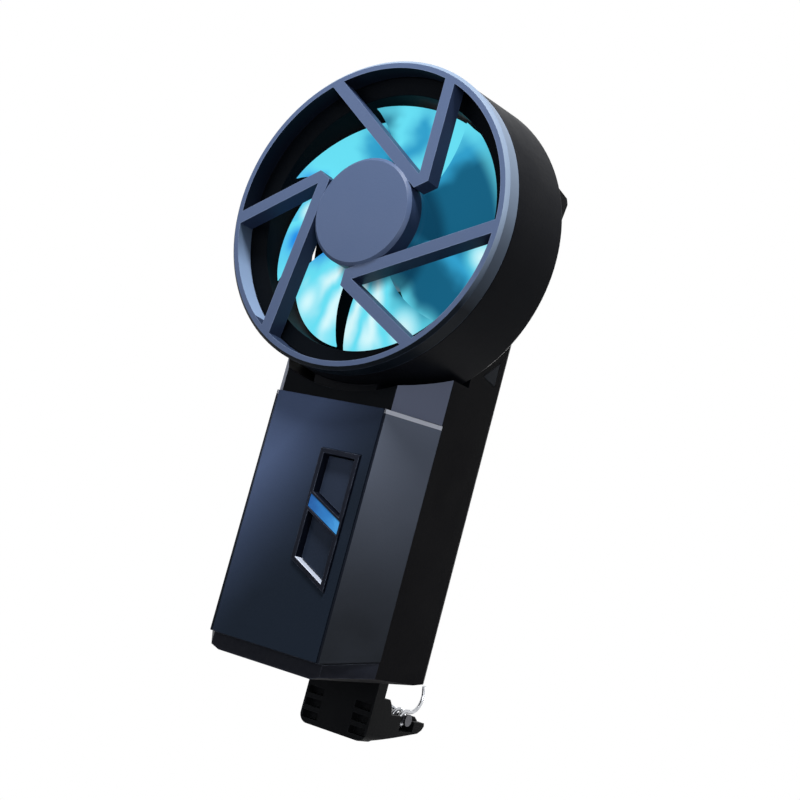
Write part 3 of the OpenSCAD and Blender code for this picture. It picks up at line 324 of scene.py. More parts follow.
class Effects:
    """Effects that more than one finish uses, each built once as a node group."""

    def __init__(self) -> None:
        """Builds all the groups."""
        self.grain = self._grain()
        self.rub_and_highlight = self._rub_and_highlight()
        self.tone_and_shade = self._tone_and_shade()
        self.drawn = self._drawn()
        self.dust = self._dust()

    @staticmethod
    def _open(name: str, inputs: dict[str, Feed], outputs: dict[str, str]) -> tuple[Wiring, Node, Node]:
        """Opens a new group with named sockets.

        Args:
            name: The group's name.
            inputs: Input names and their usual values, a number or a colour.
            outputs: Output names and their kinds, Float or Color.

        Returns:
            The wiring, the group's inputs and its outputs.
        """
        tree = bpy.data.node_groups.new(name, "ShaderNodeTree")
        for entry, usual in inputs.items():
            kind = "NodeSocketFloat" if isinstance(usual, (int, float)) else "NodeSocketColor"
            socket = tree.interface.new_socket(entry, in_out="INPUT", socket_type=kind)
            socket.default_value = usual if kind == "NodeSocketFloat" else (*usual, 1.0)
        for entry, kind in outputs.items():
            tree.interface.new_socket(entry, in_out="OUTPUT", socket_type="NodeSocket" + kind)
        wires = Wiring(tree)
        return wires, tree.nodes.new("NodeGroupInput"), tree.nodes.new("NodeGroupOutput")

    def _grain(self) -> Tree:
        """Builds the fine pebbled grain that a spark-eroded mould leaves.

        Returns:
            The group.
        """
        wires, given, out = self._open(
            "moulded_grain", {"Grains": 4000.0, "Rough Low": 0.4, "Rough High": 0.55},
            {"Roughness": "Float", "Height": "Float"})
        where = wires.where()
        pebbles = wires.place("TexVoronoi", feature="SMOOTH_F1")
        wires.fill(pebbles, {"Vector": where, "Scale": given.outputs["Grains"]})
        fine = wires.noise(where, wires.math("MULTIPLY", given.outputs["Grains"], 0.6), 4.0)
        height = wires.math("ADD", wires.math("MULTIPLY", pebbles.outputs["Distance"], 0.6), fine)
        clouds = wires.noise(where, 160.0, 3.0, 0.6)
        patchy = wires.math("ADD", wires.math("MULTIPLY", clouds, 0.7), wires.math("MULTIPLY", fine, 0.3))
        rough = wires.spread(patchy, 0.3, 0.7, given.outputs["Rough Low"], given.outputs["Rough High"])
        wires.fill(out, {"Roughness": rough, "Height": height})
        return wires.tree

    def _rub_and_highlight(self) -> Tree:
        """Builds the mask of edges that handling has polished, which also carries a painted highlight along
        the edges.

        Returns:
            The group.
        """
        wires, given, out = self._open("rubbed_edge_and_highlight", {"Reach": 0.0002, "Share": 0.4}, {"Mask": "Float"})
        rounded = wires.place("Bevel", samples=6)
        wires.feed(rounded.inputs["Radius"], given.outputs["Reach"])
        facing = wires.place("VectorMath", operation="DOT_PRODUCT")
        wires.feed(facing.inputs[0], rounded.outputs[0])
        wires.feed(facing.inputs[1], wires.place("NewGeometry").outputs["True Normal"])
        turned = wires.spread(facing.outputs["Value"], 0.985, 0.8, 0.0, 1.0)
        broken = wires.spread(wires.noise(wires.where(), 700.0, 4.0), 0.25, 0.6)
        mask = wires.math("MULTIPLY", wires.math("MULTIPLY", turned, broken), given.outputs["Share"], True)
        wires.feed(out.inputs["Mask"], mask)
        return wires.tree

    def _tone_and_shade(self) -> Tree:
        """Builds painted light and shade: a slow change of tone from the foot of a piece to its head, leaning
        sideways, with random clouds of tone.

        Returns:
            The group.
        """
        wires, given, out = self._open(
            "tone_and_shade_drift",
            {"Upper": (0.1, 0.1, 0.1), "Lower": (0.05, 0.05, 0.05), "Low": -0.03, "High": 0.03, "Lean": 0.0,
             "Curve": 1.0, "Clouds": 0.1},
            {"Colour": "Color"})
        where = wires.where()
        across, _, up = wires.axes(where)
        rise = wires.math("ADD", up, wires.math("MULTIPLY", across, given.outputs["Lean"]))
        even = wires.spread(rise, given.outputs["Low"], given.outputs["High"])
        height = wires.math("POWER", even, given.outputs["Curve"])
        swirl = wires.math("SUBTRACT", wires.noise(where, 90.0, 3.0, 0.8), 0.5)
        share = wires.math("ADD", height, wires.math("MULTIPLY", swirl, given.outputs["Clouds"]), True)
        wires.feed(out.inputs["Colour"], wires.mix(share, given.outputs["Lower"], given.outputs["Upper"]))
        return wires.tree

    def _drawn(self) -> Tree:
        """Builds the fine lines that drawing or turning leaves on metal.

        Returns:
            The group.
        """
        wires, given, out = self._open(
            "drawn_metal", {"Lines": 9000.0, "Stretch": 0.05, "Rough Low": 0.15, "Rough High": 0.35},
            {"Roughness": "Float", "Height": "Float", "Shade": "Float"})
        place = wires.place("Mapping")
        scale = wires.place("CombineXYZ")
        wires.fill(scale, {"X": given.outputs["Stretch"], "Y": 1.0, "Z": 1.0})
        wires.fill(place, {"Vector": wires.where(), "Scale": scale.outputs[0]})
        lines = wires.noise(place.outputs[0], given.outputs["Lines"], 3.0)
        rough = wires.spread(lines, 0.3, 0.7, given.outputs["Rough Low"], given.outputs["Rough High"])
        shade = wires.noise(wires.where(), 900.0, 3.0)
        wires.fill(out, {"Roughness": rough, "Height": lines, "Shade": shade})
        return wires.tree

    def _dust(self) -> Tree:
        """Builds the thin film of dust that lies on faces that look up.

        Returns:
            The group.
        """
        wires, given, out = self._open("dust_film", {"Share": 0.05}, {"Mask": "Float"})
        up = wires.spread(wires.axes(wires.place("NewGeometry").outputs["Normal"])[2], -0.2, 0.9)
        specks = wires.spread(wires.noise(wires.where(), 1500.0, 6.0), 0.42, 0.75)
        mask = wires.math("MULTIPLY", wires.math("MULTIPLY", up, specks), given.outputs["Share"], True)
        wires.feed(out.inputs["Mask"], mask)
        return wires.tree


class Finish:
    """What the finishes share: a fresh material with one Principled shader."""

    name: str

    def open(self) -> tuple[Material, Wiring, Node]:
        """Opens a fresh material.

        Returns:
            The material, its wiring and its shader.
        """
        material = bpy.data.materials.new("fan_" + self.name)
        material.use_nodes = True
        wires = Wiring(material.node_tree)
        shader = wires.place("BsdfPrincipled")
        wires.feed(wires.place("OutputMaterial").inputs["Surface"], shader.outputs[0])
        return material, wires, shader

    @staticmethod
    def bump(wires: Wiring, shader: Node, height: Feed, depth: float, strength: float = 0.6) -> None:
        """Raises a surface by a height.

        Args:
            wires: The material's wiring.
            shader: Its shader.
            height: The height's socket.
            depth: Depth of the relief in millimetres.
            strength: Share of the relief that shows.
        """
        node = wires.place("Bump")
        wires.fill(node, {"Strength": strength, "Distance": depth * MM, "Height": height})
        wires.feed(shader.inputs["Normal"], node.outputs[0])


@dataclass(frozen=True)
class Moulded(Finish):
    """Moulded plastic with a fine grain, a tone that drifts from its foot to its head as painted light and
    shade, and another tone where its edges are rubbed and carry a painted highlight.
    """

    name: str
    upper: Tone
    lower: Tone
    edge: Tone
    low: float = -35.0
    high: float = 35.0
    lean: float = 0.0
    curve: float = 1.0
    clouds: float = 0.12
    rough: tuple[float, float] = (0.42, 0.56)
    shine: float = 0.06
    grains: float = 4200.0
    depth: float = 0.012
    reach: float = 0.2
    rub_and_highlight_share: float = 0.4
    dust: float = 0.05

    def make(self, effects: Effects) -> Material:
        """Makes the material.

        Args:
            effects: The shared effects.

        Returns:
            The material.
        """
        material, wires, shader = self.open()
        tone_and_shade = wires.effect(
            effects.tone_and_shade, upper=tone(*self.upper), lower=tone(*self.lower), low=self.low * MM,
            high=self.high * MM, lean=self.lean, curve=self.curve, clouds=self.clouds)
        rub_and_highlight = wires.effect(effects.rub_and_highlight, reach=self.reach * MM, share=self.rub_and_highlight_share)
        dust = wires.effect(effects.dust, share=self.dust)
        grain = wires.effect(effects.grain, grains=self.grains, rough_low=self.rough[0],
                             rough_high=self.rough[1])
        edged = wires.mix(rub_and_highlight.outputs["Mask"], tone_and_shade.outputs["Colour"], tone(*self.edge))
        dusty = wires.mix(dust.outputs["Mask"], edged, tone(150, 150, 155))
        wires.fill(shader, {"Base Color": dusty, "Roughness": grain.outputs["Roughness"],
                            "Specular IOR Level": self.shine})
        self.bump(wires, shader, grain.outputs["Height"], self.depth)
        return material


@dataclass(frozen=True)
class Metal(Finish):
    """Bright metal with fine drawn or turned lines."""

    name: str
    light: Tone
    dark: Tone
    rough: tuple[float, float] = (0.16, 0.34)
    lines: float = 9000.0
    stretch: float = 0.08
    depth: float = 0.004
    reach: float = 0.12
    rub_and_highlight_share: float = 0.5

    def make(self, effects: Effects) -> Material:
        """Makes the material.

        Args:
            effects: The shared effects.

        Returns:
            The material.
        """
        material, wires, shader = self.open()
        drawn = wires.effect(effects.drawn, lines=self.lines, stretch=self.stretch, rough_low=self.rough[0],
                             rough_high=self.rough[1])
        rub_and_highlight = wires.effect(effects.rub_and_highlight, reach=self.reach * MM, share=self.rub_and_highlight_share)
        light = tone(*self.light)
        worn = wires.mix(drawn.outputs["Shade"], tone(*self.dark), light)
        wires.fill(shader, {"Base Color": wires.mix(rub_and_highlight.outputs["Mask"], worn, light),
                            "Roughness": drawn.outputs["Roughness"], "Metallic": 1.0})
        self.bump(wires, shader, drawn.outputs["Height"], self.depth)
        return material


@dataclass(frozen=True)
class BladeGlow(Finish):
    """Clear blades with the light of the lamps behind them painted on as emission: tones set by angle round
    the hub, pools of painted highlight and painted shade towards the root.
    """

    name: str = "blade_glow"
    height: float = AXIS[2]
    hub: float = 6.2
    tip: float = 15.1
    strength: float = 0.97
    pools: tuple[Point, ...] = (
        (-62.0, 13.4, 4.4), (-134.0, 13.4, 4.0), (172.0, 13.0, 3.0), (-10.0, 14.2, 3.0))

    def make(self, effects: Effects) -> Material:
        """Makes the material.

        Args:
            effects: The shared effects.

        Returns:
            The material.
        """
        ice, cyan, sky = tone(212, 248, 252), tone(104, 222, 242), tone(50, 158, 202)
        blue, teal, deep = tone(34, 134, 224), tone(22, 94, 126), tone(12, 58, 84)
        material, wires, shader = self.open()
        where = wires.where()
        across, _, up = wires.axes(where)
        rise = wires.math("SUBTRACT", up, self.height * MM)
        angle = wires.math("ARCTAN2", rise, across)
        square = wires.math("ADD", wires.math("MULTIPLY", rise, rise), wires.math("MULTIPLY", across, across))
        along = wires.spread(wires.math("SQRT", square), self.hub * MM, self.tip * MM)
        swirl = wires.math("SUBTRACT", wires.noise(where, 190.0, 2.0, 0.2), 0.5)
        turn = wires.math("ADD", wires.spread(angle, -math.pi, math.pi), wires.math("MULTIPLY", swirl, 0.07))
        # Painted light: the glow's tone changes with the angle round the hub.
        pool = wires.ramp(turn, (
            (0.00, cyan), (0.03, blue), (0.09, cyan), (0.135, ice), (0.17, cyan), (0.20, ice), (0.235, cyan),
            (0.27, ice), (0.305, cyan), (0.35, teal), (0.42, teal), (0.455, sky), (0.49, teal), (0.60, teal),
            (0.635, sky), (0.665, cyan), (0.70, cyan), (0.735, sky), (0.765, cyan), (0.80, teal), (0.83, sky),
            (0.87, cyan), (0.91, cyan), (0.945, blue), (0.985, blue), (1.00, cyan)))
        # Painted light: brighter cyan towards the tips.
        rim = wires.spread(along, 0.76, 0.96, 0.0, 0.6, True)
        lit = wires.mix(rim, pool, cyan)
        # Pools of painted highlight.
        for degrees, reach, size in self.pools:
            spot = (reach * math.cos(math.radians(degrees)) * MM, 0.0,
                    (self.height + reach * math.sin(math.radians(degrees))) * MM)
            flat = wires.place("VectorMath", operation="MULTIPLY")
            wires.feed(flat.inputs[0], where)
            flat.inputs[1].default_value = (1.0, 0.0, 1.0)
            apart = wires.place("VectorMath", operation="DISTANCE")
            wires.feed(apart.inputs[0], flat.outputs[0])
            apart.inputs[1].default_value = spot
            gap, span = apart.outputs["Value"], size * MM
            lit = wires.mix(wires.spread(gap, 0.3 * span, span, 0.9, 0.0, True), lit, cyan)
            lit = wires.mix(wires.spread(gap, 0.0, 0.7 * span, 0.95, 0.0, True), lit, ice)
        # Painted shade: the glow darkens towards each blade's root.
        root = wires.spread(along, 0.02, 0.22, 0.85, 0.0, True)
        glow = wires.mix(root, lit, deep)
        spill = wires.math("MULTIPLY", wires.place("LightPath").outputs["Is Diffuse Ray"], 0.9)
        grain = wires.effect(effects.grain, grains=1800.0, rough_low=0.34, rough_high=0.46)
        wires.fill(shader, {
            "Emission Color": wires.mix(spill, glow, (0.0, 0.0, 0.0)), "Emission Strength": self.strength,
            "Base Color": wires.mix(0.94, glow, (0.0, 0.01, 0.02)),
            "Roughness": grain.outputs["Roughness"], "Specular IOR Level": 0.02})
        self.bump(wires, shader, grain.outputs["Height"], 0.004, 0.3)
        return material


@dataclass(frozen=True)
class LitBar(Finish):
    """A frosted bar with a lamp behind it, its light painted on as emission, lighter towards one end."""

    name: str = "lit_bar"
    near: Colour = tone(74, 166, 236)
    away: Colour = tone(28, 92, 168)
    strength: float = 0.38
    left: float = 0.8
    right: float = 6.1

    def make(self, effects: Effects) -> Material:
        """Makes the material.

        Args:
            effects: The shared effects.

        Returns:
            The material.
        """
        material, wires, shader = self.open()
        where = wires.where()
        frost = wires.noise(where, 900.0, 4.0, 0.5)
        slide = wires.spread(wires.axes(where)[0], self.left * MM, self.right * MM)
        patch = wires.math("MULTIPLY", wires.math("SUBTRACT", frost, 0.5), 0.5)
        share = wires.math("ADD", slide, patch, True)
        glow = wires.ramp(share, ((0.0, self.away), (0.55, tone(44, 128, 204)), (1.0, self.near)))
        grain = wires.effect(effects.grain, grains=3000.0, rough_low=0.3, rough_high=0.42)
        wires.fill(shader, {
            "Emission Color": glow, "Emission Strength": self.strength,
            "Base Color": wires.mix(0.7, glow, (0.01, 0.03, 0.06)),
            "Roughness": grain.outputs["Roughness"], "Specular IOR Level": 0.05})
        self.bump(wires, shader, grain.outputs["Height"], 0.01, 0.4)
        return material


@dataclass(frozen=True)
class Circuit(Finish):
    """Lacquered circuit board with its tracks just showing."""

    name: str
    lacquer: Colour = tone(16, 74, 48)
    track: Colour = tone(44, 112, 76)

    def make(self, effects: Effects) -> Material:
        """Makes the material.

        Args:
            effects: The shared effects.

        Returns:
            The material.
        """
        material, wires, shader = self.open()
        cells = wires.place("TexVoronoi", feature="DISTANCE_TO_EDGE", distance="EUCLIDEAN")
        wires.fill(cells, {"Vector": wires.where(), "Scale": 520.0})
        tracks = wires.spread(cells.outputs["Distance"], 0.09, 0.05)
        grain = wires.effect(effects.grain, grains=5000.0, rough_low=0.25, rough_high=0.4)
        wires.fill(shader, {"Base Color": wires.mix(tracks, self.lacquer, self.track),
                            "Roughness": grain.outputs["Roughness"]})
        self.bump(wires, shader, tracks, 0.02, 0.5)
        return material


class Palette:
    """Every finish of the part, ready to put on."""

    def __init__(self) -> None:
        """Makes all the materials."""
        effects = Effects()
        black = dict(low=-40.0, high=35.0, edge=(44, 46, 54))
        soft = dict(rough=(0.66, 0.84), shine=0.03, grains=2200.0, depth=0.03, rub_and_highlight_share=0.3, dust=0.03)
        finishes = (
            # Grille paint; its light edge tone is a painted highlight on the chamfers.
            Moulded("grille", (74, 90, 122), (56, 70, 98), (132, 150, 182), low=-2.0, high=30.0,
                    rough=(0.36, 0.5), shine=0.16, rub_and_highlight_share=0.55, reach=0.16, dust=0.02),
            # Painted shade: a darker copy of the grille paint on its side walls.
            Moulded("grille_side_shade", (50, 64, 94), (34, 44, 66), (110, 126, 158), low=-2.0, high=30.0,
                    rough=(0.38, 0.52), shine=0.1, rub_and_highlight_share=0.4, reach=0.12, dust=0.0),
            # Painted shade and light: the ring's inner wall is near black at the top and bright slate lower
            # down.
            Moulded("grille_wall_shade_and_light", (14, 19, 30), (124, 146, 178), (60, 74, 104), low=9.5, high=16.0,
                    rough=(0.38, 0.52), shine=0.06, rub_and_highlight_share=0.2, dust=0.0),
            # Painted light and shade: the ring's outer rim is bright on the right and dark towards the
            # bottom.
            Moulded("grille_rim_light_and_shade", (126, 142, 164), (12, 18, 25), (130, 146, 174), low=13.0, high=25.0,
                    lean=0.35, rough=(0.34, 0.46), shine=0.03, rub_and_highlight_share=0.3, dust=0.0),
            Moulded("drum", (12, 14, 19), (6, 7, 10), rough=(0.36, 0.48), shine=0.03, rub_and_highlight_share=0.2, dust=0.01,
                    **black),
            Moulded("duct", (4, 7, 12), (3, 5, 8), rough=(0.4, 0.55), shine=0.02, rub_and_highlight_share=0.03, dust=0.0,
                    low=-40.0, high=35.0, edge=(12, 16, 22)),
            Moulded("body", (8, 9, 12), (6, 6, 9), rough=(0.42, 0.58), shine=0.01, rub_and_highlight_share=0.2, dust=0.01,
                    **black),
            # Painted light: the body's front and right bevel faces are light grey at the top, fading to dark
            # at the bottom.
            Moulded("body_front_light_and_shade", (104, 111, 132), (14, 16, 23), (130, 136, 150), low=-33.0, high=0.0,
                    rough=(0.4, 0.54), shine=0.04, rub_and_highlight_share=0.3),
            Moulded("neck_front", (6, 8, 12), (5, 7, 10), (40, 46, 56), rough=(0.4, 0.54), shine=0.02,
                    rub_and_highlight_share=0.1, dust=0.0),
            # Painted light and shade: the panel is lighter at the top left and darker towards the bottom
            # right.
            Moulded("panel", (65, 78, 106), (21, 28, 38), (15, 19, 28), low=-26.0, high=-3.0, lean=-1.5,
                    curve=2.0, rough=(0.4, 0.52), shine=0.02, rub_and_highlight_share=0.3, clouds=0.1, dust=0.0),
            Moulded("cover_lip", (20, 25, 35), (12, 15, 21), (30, 36, 46), low=-34.0, high=-4.0,
                    rough=(0.42, 0.54), shine=0.02, rub_and_highlight_share=0.1, dust=0.0),
            # Painted light: the cover's bevel is light at the top, fading to dark lower down.
            Moulded("cover", (104, 112, 129), (29, 32, 37), (26, 29, 34), low=-34.0, high=-2.0, curve=2.2,
                    rough=(0.4, 0.52), shine=0.04, rub_and_highlight_share=0.5, dust=0.0),
            # Painted highlight: a bright band along the cover's top edge.
            Moulded("cover_edge", (206, 210, 222), (180, 184, 196), (220, 224, 234), rough=(0.3, 0.4),
                    shine=0.2, rub_and_highlight_share=0.2, dust=0.0),
            # Painted highlight: a bright glint on the lower key window's sill.
            Moulded("key_sill_highlight", (190, 198, 214), (170, 178, 194), (220, 226, 236), rough=(0.26, 0.36),
                    shine=0.3, rub_and_highlight_share=0.2, dust=0.0),
            Moulded("keys", (38, 46, 62), (21, 28, 39), (80, 90, 110), low=-24.0, high=-10.0,
                    rough=(0.36, 0.48), shine=0.03, rub_and_highlight_share=0.4, dust=0.0),
            # Painted highlight: thin light lines on the key frame's edges.
            Moulded("key_frame", (13, 17, 28), (9, 12, 21), (128, 138, 158), low=-24.0, high=-9.0,
                    rough=(0.3, 0.42), shine=0.04, rub_and_highlight_share=0.7, reach=0.09, dust=0.0),
            Moulded("mark", (42, 46, 52), (38, 41, 47), (50, 52, 58), rough=(0.5, 0.62), shine=0.02,
                    rub_and_highlight_share=0.3, dust=0.01),
            Moulded("clamp", (11, 12, 15), (9, 10, 12), rough=(0.44, 0.6), shine=0.03, rub_and_highlight_share=0.25, dust=0.02,
                    **black),
            Moulded("jaw", (20, 21, 24), (14, 15, 17), (50, 52, 56), low=-42.0, high=4.0,
                    rough=(0.38, 0.54), shine=0.02, rub_and_highlight_share=0.3, dust=0.01),
            Moulded("rubber", (13, 13, 14), (11, 11, 12), (30, 30, 33), **soft),
            Moulded("grip", (32, 32, 35), (27, 27, 30), (52, 52, 56), **soft),
            Moulded("magnet", (46, 46, 50), (40, 40, 44), (70, 70, 75), rough=(0.5, 0.66), grains=6000.0),
            Moulded("chips", (22, 22, 24), (19, 19, 21), (60, 60, 64), rough=(0.4, 0.55), grains=7000.0),
            Moulded("lamps", (236, 238, 232), (228, 230, 224), (246, 246, 240), rough=(0.3, 0.45)),
            Moulded("tape", (228, 226, 218), (220, 218, 210), (236, 234, 228), rough=(0.6, 0.75),
                    grains=1500.0),
            Moulded("lead", (28, 28, 30), (24, 24, 26), (50, 50, 54), rough=(0.4, 0.55)),
            Metal("spring", (222, 224, 228), (150, 153, 158), rough=(0.14, 0.3)),
            Metal("screws", (96, 97, 102), (52, 53, 58), rough=(0.24, 0.42)),
            Metal("motor_steel", (190, 192, 196), (132, 134, 140), rough=(0.22, 0.4)),
            Metal("bronze", (196, 150, 92), (150, 108, 62), rough=(0.28, 0.44)),
            Metal("copper", (214, 132, 84), (166, 92, 52), rough=(0.2, 0.34)),
            Metal("inlet", (206, 208, 212), (150, 152, 158), rough=(0.18, 0.32)),
            Metal("contacts", (232, 196, 112), (196, 156, 84), rough=(0.16, 0.28)),
            Metal("foil", (150, 160, 176), (112, 122, 140), rough=(0.26, 0.44), lines=1500.0, stretch=1.0),
            BladeGlow(), LitBar(), Circuit("board"),
        )
        self._made = {finish.name: finish.make(effects) for finish in finishes}

    def __getitem__(self, name: str) -> Material:
        """Gives the material of a finish by its name."""
        return self._made[name]


class Shape:
    """A mesh under construction, in millimetres of the part's frame."""

    corner = math.radians(28.0)
    round_steps = 2
    turned_sides = 96

    def __init__(self) -> None:
        """Starts empty."""
        self.mesh = bmesh.new()

    @classmethod
    def of_node(cls, node: str) -> "Shape":
        """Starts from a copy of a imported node, with its flat faces whole again.

        Args:
            node: The node's name.

        Returns:
            The copied shape.
        """
        made = cls()
        made.mesh.from_mesh(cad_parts[node].data)
        bmesh.ops.scale(made.mesh, vec=(1 / MM,) * 3, verts=made.mesh.verts)
        bmesh.ops.remove_doubles(made.mesh, verts=made.mesh.verts, dist=0.002)
        bmesh.ops.dissolve_limit(made.mesh, angle_limit=math.radians(0.4), use_dissolve_boundaries=False,
                                 verts=made.mesh.verts, edges=made.mesh.edges)
        return made

    def round_edges(self, width: float, least: float) -> "Shape":
        """Rounds the sharp edges.

        Args:
            width: Width of the rounding.
            least: Shorter edges are left alone.

        Returns:
            The same shape.
        """
        sharp = [e for e in self.mesh.edges
                 if len(e.link_faces) == 2 and e.calc_face_angle(0.0) > self.corner
                 and e.calc_length() > least]
        bmesh.ops.bevel(self.mesh, geom=sharp, offset=width, offset_type="OFFSET", segments=self.round_steps,
                        profile=0.5, affect="EDGES", clamp_overlap=True, miter_outer="SHARP")
        return self

    def skin(self, rings: Sequence[Sequence[Vector]], closed: bool = False) -> None:
        """Stretches a skin over a row of rings that have the same count of points.

        Args:
            rings: The rings, in order.
            closed: Whether the last ring joins the first. Open ends are filled.
        """
        rows = [[self.mesh.verts.new(p) for p in ring] for ring in rings]
        pairs = list(zip(rows, rows[1:])) + ([(rows[-1], rows[0])] if closed else [])
        for low, high in pairs:
            for k in range(len(low)):
                n = (k + 1) % len(low)
                self.mesh.faces.new((low[k], low[n], high[n], high[k]))
        if not closed:
            self.mesh.faces.new(tuple(reversed(rows[0])))
            self.mesh.faces.new(tuple(rows[-1]))

    def tube(self, line: Sequence[Vector], radius: float, sides: int, closed: bool = False) -> None:
        """Draws a round wire along a line.

        Args:
            line: The wire's middle line.
            radius: Its radius.
            sides: Points round it.
            closed: Whether it joins its own start.
        """
        rings, side = [], None
        count = len(line)
        for k, spot in enumerate(line):
            before = line[(k - 1) % count] if closed else line[max(k - 1, 0)]
            after = line[(k + 1) % count] if closed else line[min(k + 1, count - 1)]
            along = (after - before).normalized()
            guess = side if side is not None else along.orthogonal()
            side = (guess - guess.dot(along) * along).normalized()
            up = along.cross(side)
            rings.append([spot + radius * (math.cos(a) * side + math.sin(a) * up)
                          for a in (math.tau * s / sides for s in range(sides))])
        self.skin(rings, closed)

    def turn(self, profile: Sequence[tuple[float, float]], middle: Point) -> None:
        """Turns a profile that joins its own start round a line along Y.

        Args:
            profile: Radius and depth of each point.
            middle: A point on the line, from which depth is counted.
        """
        rows = []
        for a in (math.tau * k / self.turned_sides for k in range(self.turned_sides)):
            rows.append([Vector((middle[0] + r * math.cos(a), middle[1] + d, middle[2] + r * math.sin(a)))
                         for r, d in profile])
        rings = [[row[k] for row in rows] for k in range(len(profile))]
        self.skin(rings, closed=True)

    def place(self, name: str, finishes: Sequence[Material], crease: float = 36.0) -> Piece:
        """Puts the shape into the scene.

        Args:
            name: The piece's name.
            finishes: Its materials, by place.
            crease: Angle above which an edge stays sharp to the eye.

        Returns:
            The piece.
        """
        bmesh.ops.remove_doubles(self.mesh, verts=self.mesh.verts, dist=0.0005)
        bmesh.ops.scale(self.mesh, vec=(MM,) * 3, verts=self.mesh.verts)
        bmesh.ops.recalc_face_normals(self.mesh, faces=self.mesh.faces)
        mesh = bpy.data.meshes.new(name)
        self.mesh.to_mesh(mesh)
        self.mesh.free()
        if "custom_normal" in mesh.attributes:
            mesh.attributes.remove(mesh.attributes["custom_normal"])
        for finish in finishes:
            mesh.materials.append(finish)
        mesh.shade_smooth()
        mesh.set_sharp_from_angle(angle=math.radians(crease))
        piece = bpy.data.objects.new(name, mesh)
        bpy.context.scene.collection.objects.link(piece)
        piece.modifiers.new("even_faces", "WEIGHTED_NORMAL").keep_sharp = True
        return piece


class Assembly:
    """What the sub-assemblies share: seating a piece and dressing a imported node."""

    def __init__(self, palette: Palette) -> None:
        """Keeps the finishes."""
        self.palette = palette

    @staticmethod
    def seat(piece: Piece, body: Rides, slot: Slot, *nodes: str) -> Piece:
        """Seats a piece on its body and hides the nodes that it stands for.

        Args:
            piece: The piece.
            body: The body that it moves with.
            slot: Not used.
            *nodes: Nodes that it stands for.

        Returns:
            The piece.
        """
        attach(piece, body.value)
        if nodes:
            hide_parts(*nodes)
        LOG.info("%s: %d faces on %s", piece.name, len(piece.data.polygons), body.value)
        return piece

    def soften(self, node: str, finish: str, slot: Slot, width: float, body: Rides = Rides.FRAME,
               least: float = 0.25, more: Sequence[tuple[str, FaceTest]] = (),
               cuts: Sequence[float] = ()) -> Piece:
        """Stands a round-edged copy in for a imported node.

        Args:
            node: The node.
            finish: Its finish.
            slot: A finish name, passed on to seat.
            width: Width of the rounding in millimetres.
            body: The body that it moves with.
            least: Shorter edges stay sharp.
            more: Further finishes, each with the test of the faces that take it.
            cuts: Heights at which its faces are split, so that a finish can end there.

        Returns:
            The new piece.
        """
        shape = Shape.of_node(node).round_edges(width, least)
        for cut in cuts:
            parts = [*shape.mesh.verts, *shape.mesh.edges, *shape.mesh.faces]
            bmesh.ops.bisect_plane(shape.mesh, geom=parts, plane_co=(0.0, 0.0, cut), plane_no=(0.0, 0.0, 1.0))
        shape.mesh.normal_update()
        for place, (_, chosen) in enumerate(more, 1):
            for face in shape.mesh.faces:
                face.material_index = place if chosen(face) else face.material_index
        finishes = [self.palette[name] for name in (finish, *(name for name, _ in more))]
        return self.seat(shape.place(node + "_soft", finishes), body, slot, node)

    def stand(self, shape: Shape, name: str, finish: str, body: Rides, slot: Slot, node: str,
              crease: float = 36.0) -> Piece:
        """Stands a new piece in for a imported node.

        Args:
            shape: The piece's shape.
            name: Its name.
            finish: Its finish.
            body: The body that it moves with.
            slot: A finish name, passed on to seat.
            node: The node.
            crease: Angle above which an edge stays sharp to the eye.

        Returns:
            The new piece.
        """
        return self.seat(shape.place(name, [self.palette[finish]], crease), body, slot, node)

    def dress(self, node: str, finish: str) -> None:
        """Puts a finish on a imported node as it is.

        Args:
            node: The node.
            finish: Its finish.
        """
        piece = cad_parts[node]
        for place in range(len(piece.material_slots)):
            piece.material_slots[place].link = "OBJECT"
            piece.material_slots[place].material = self.palette[finish]
        LOG.info("%s: dressed as %s", node, finish)


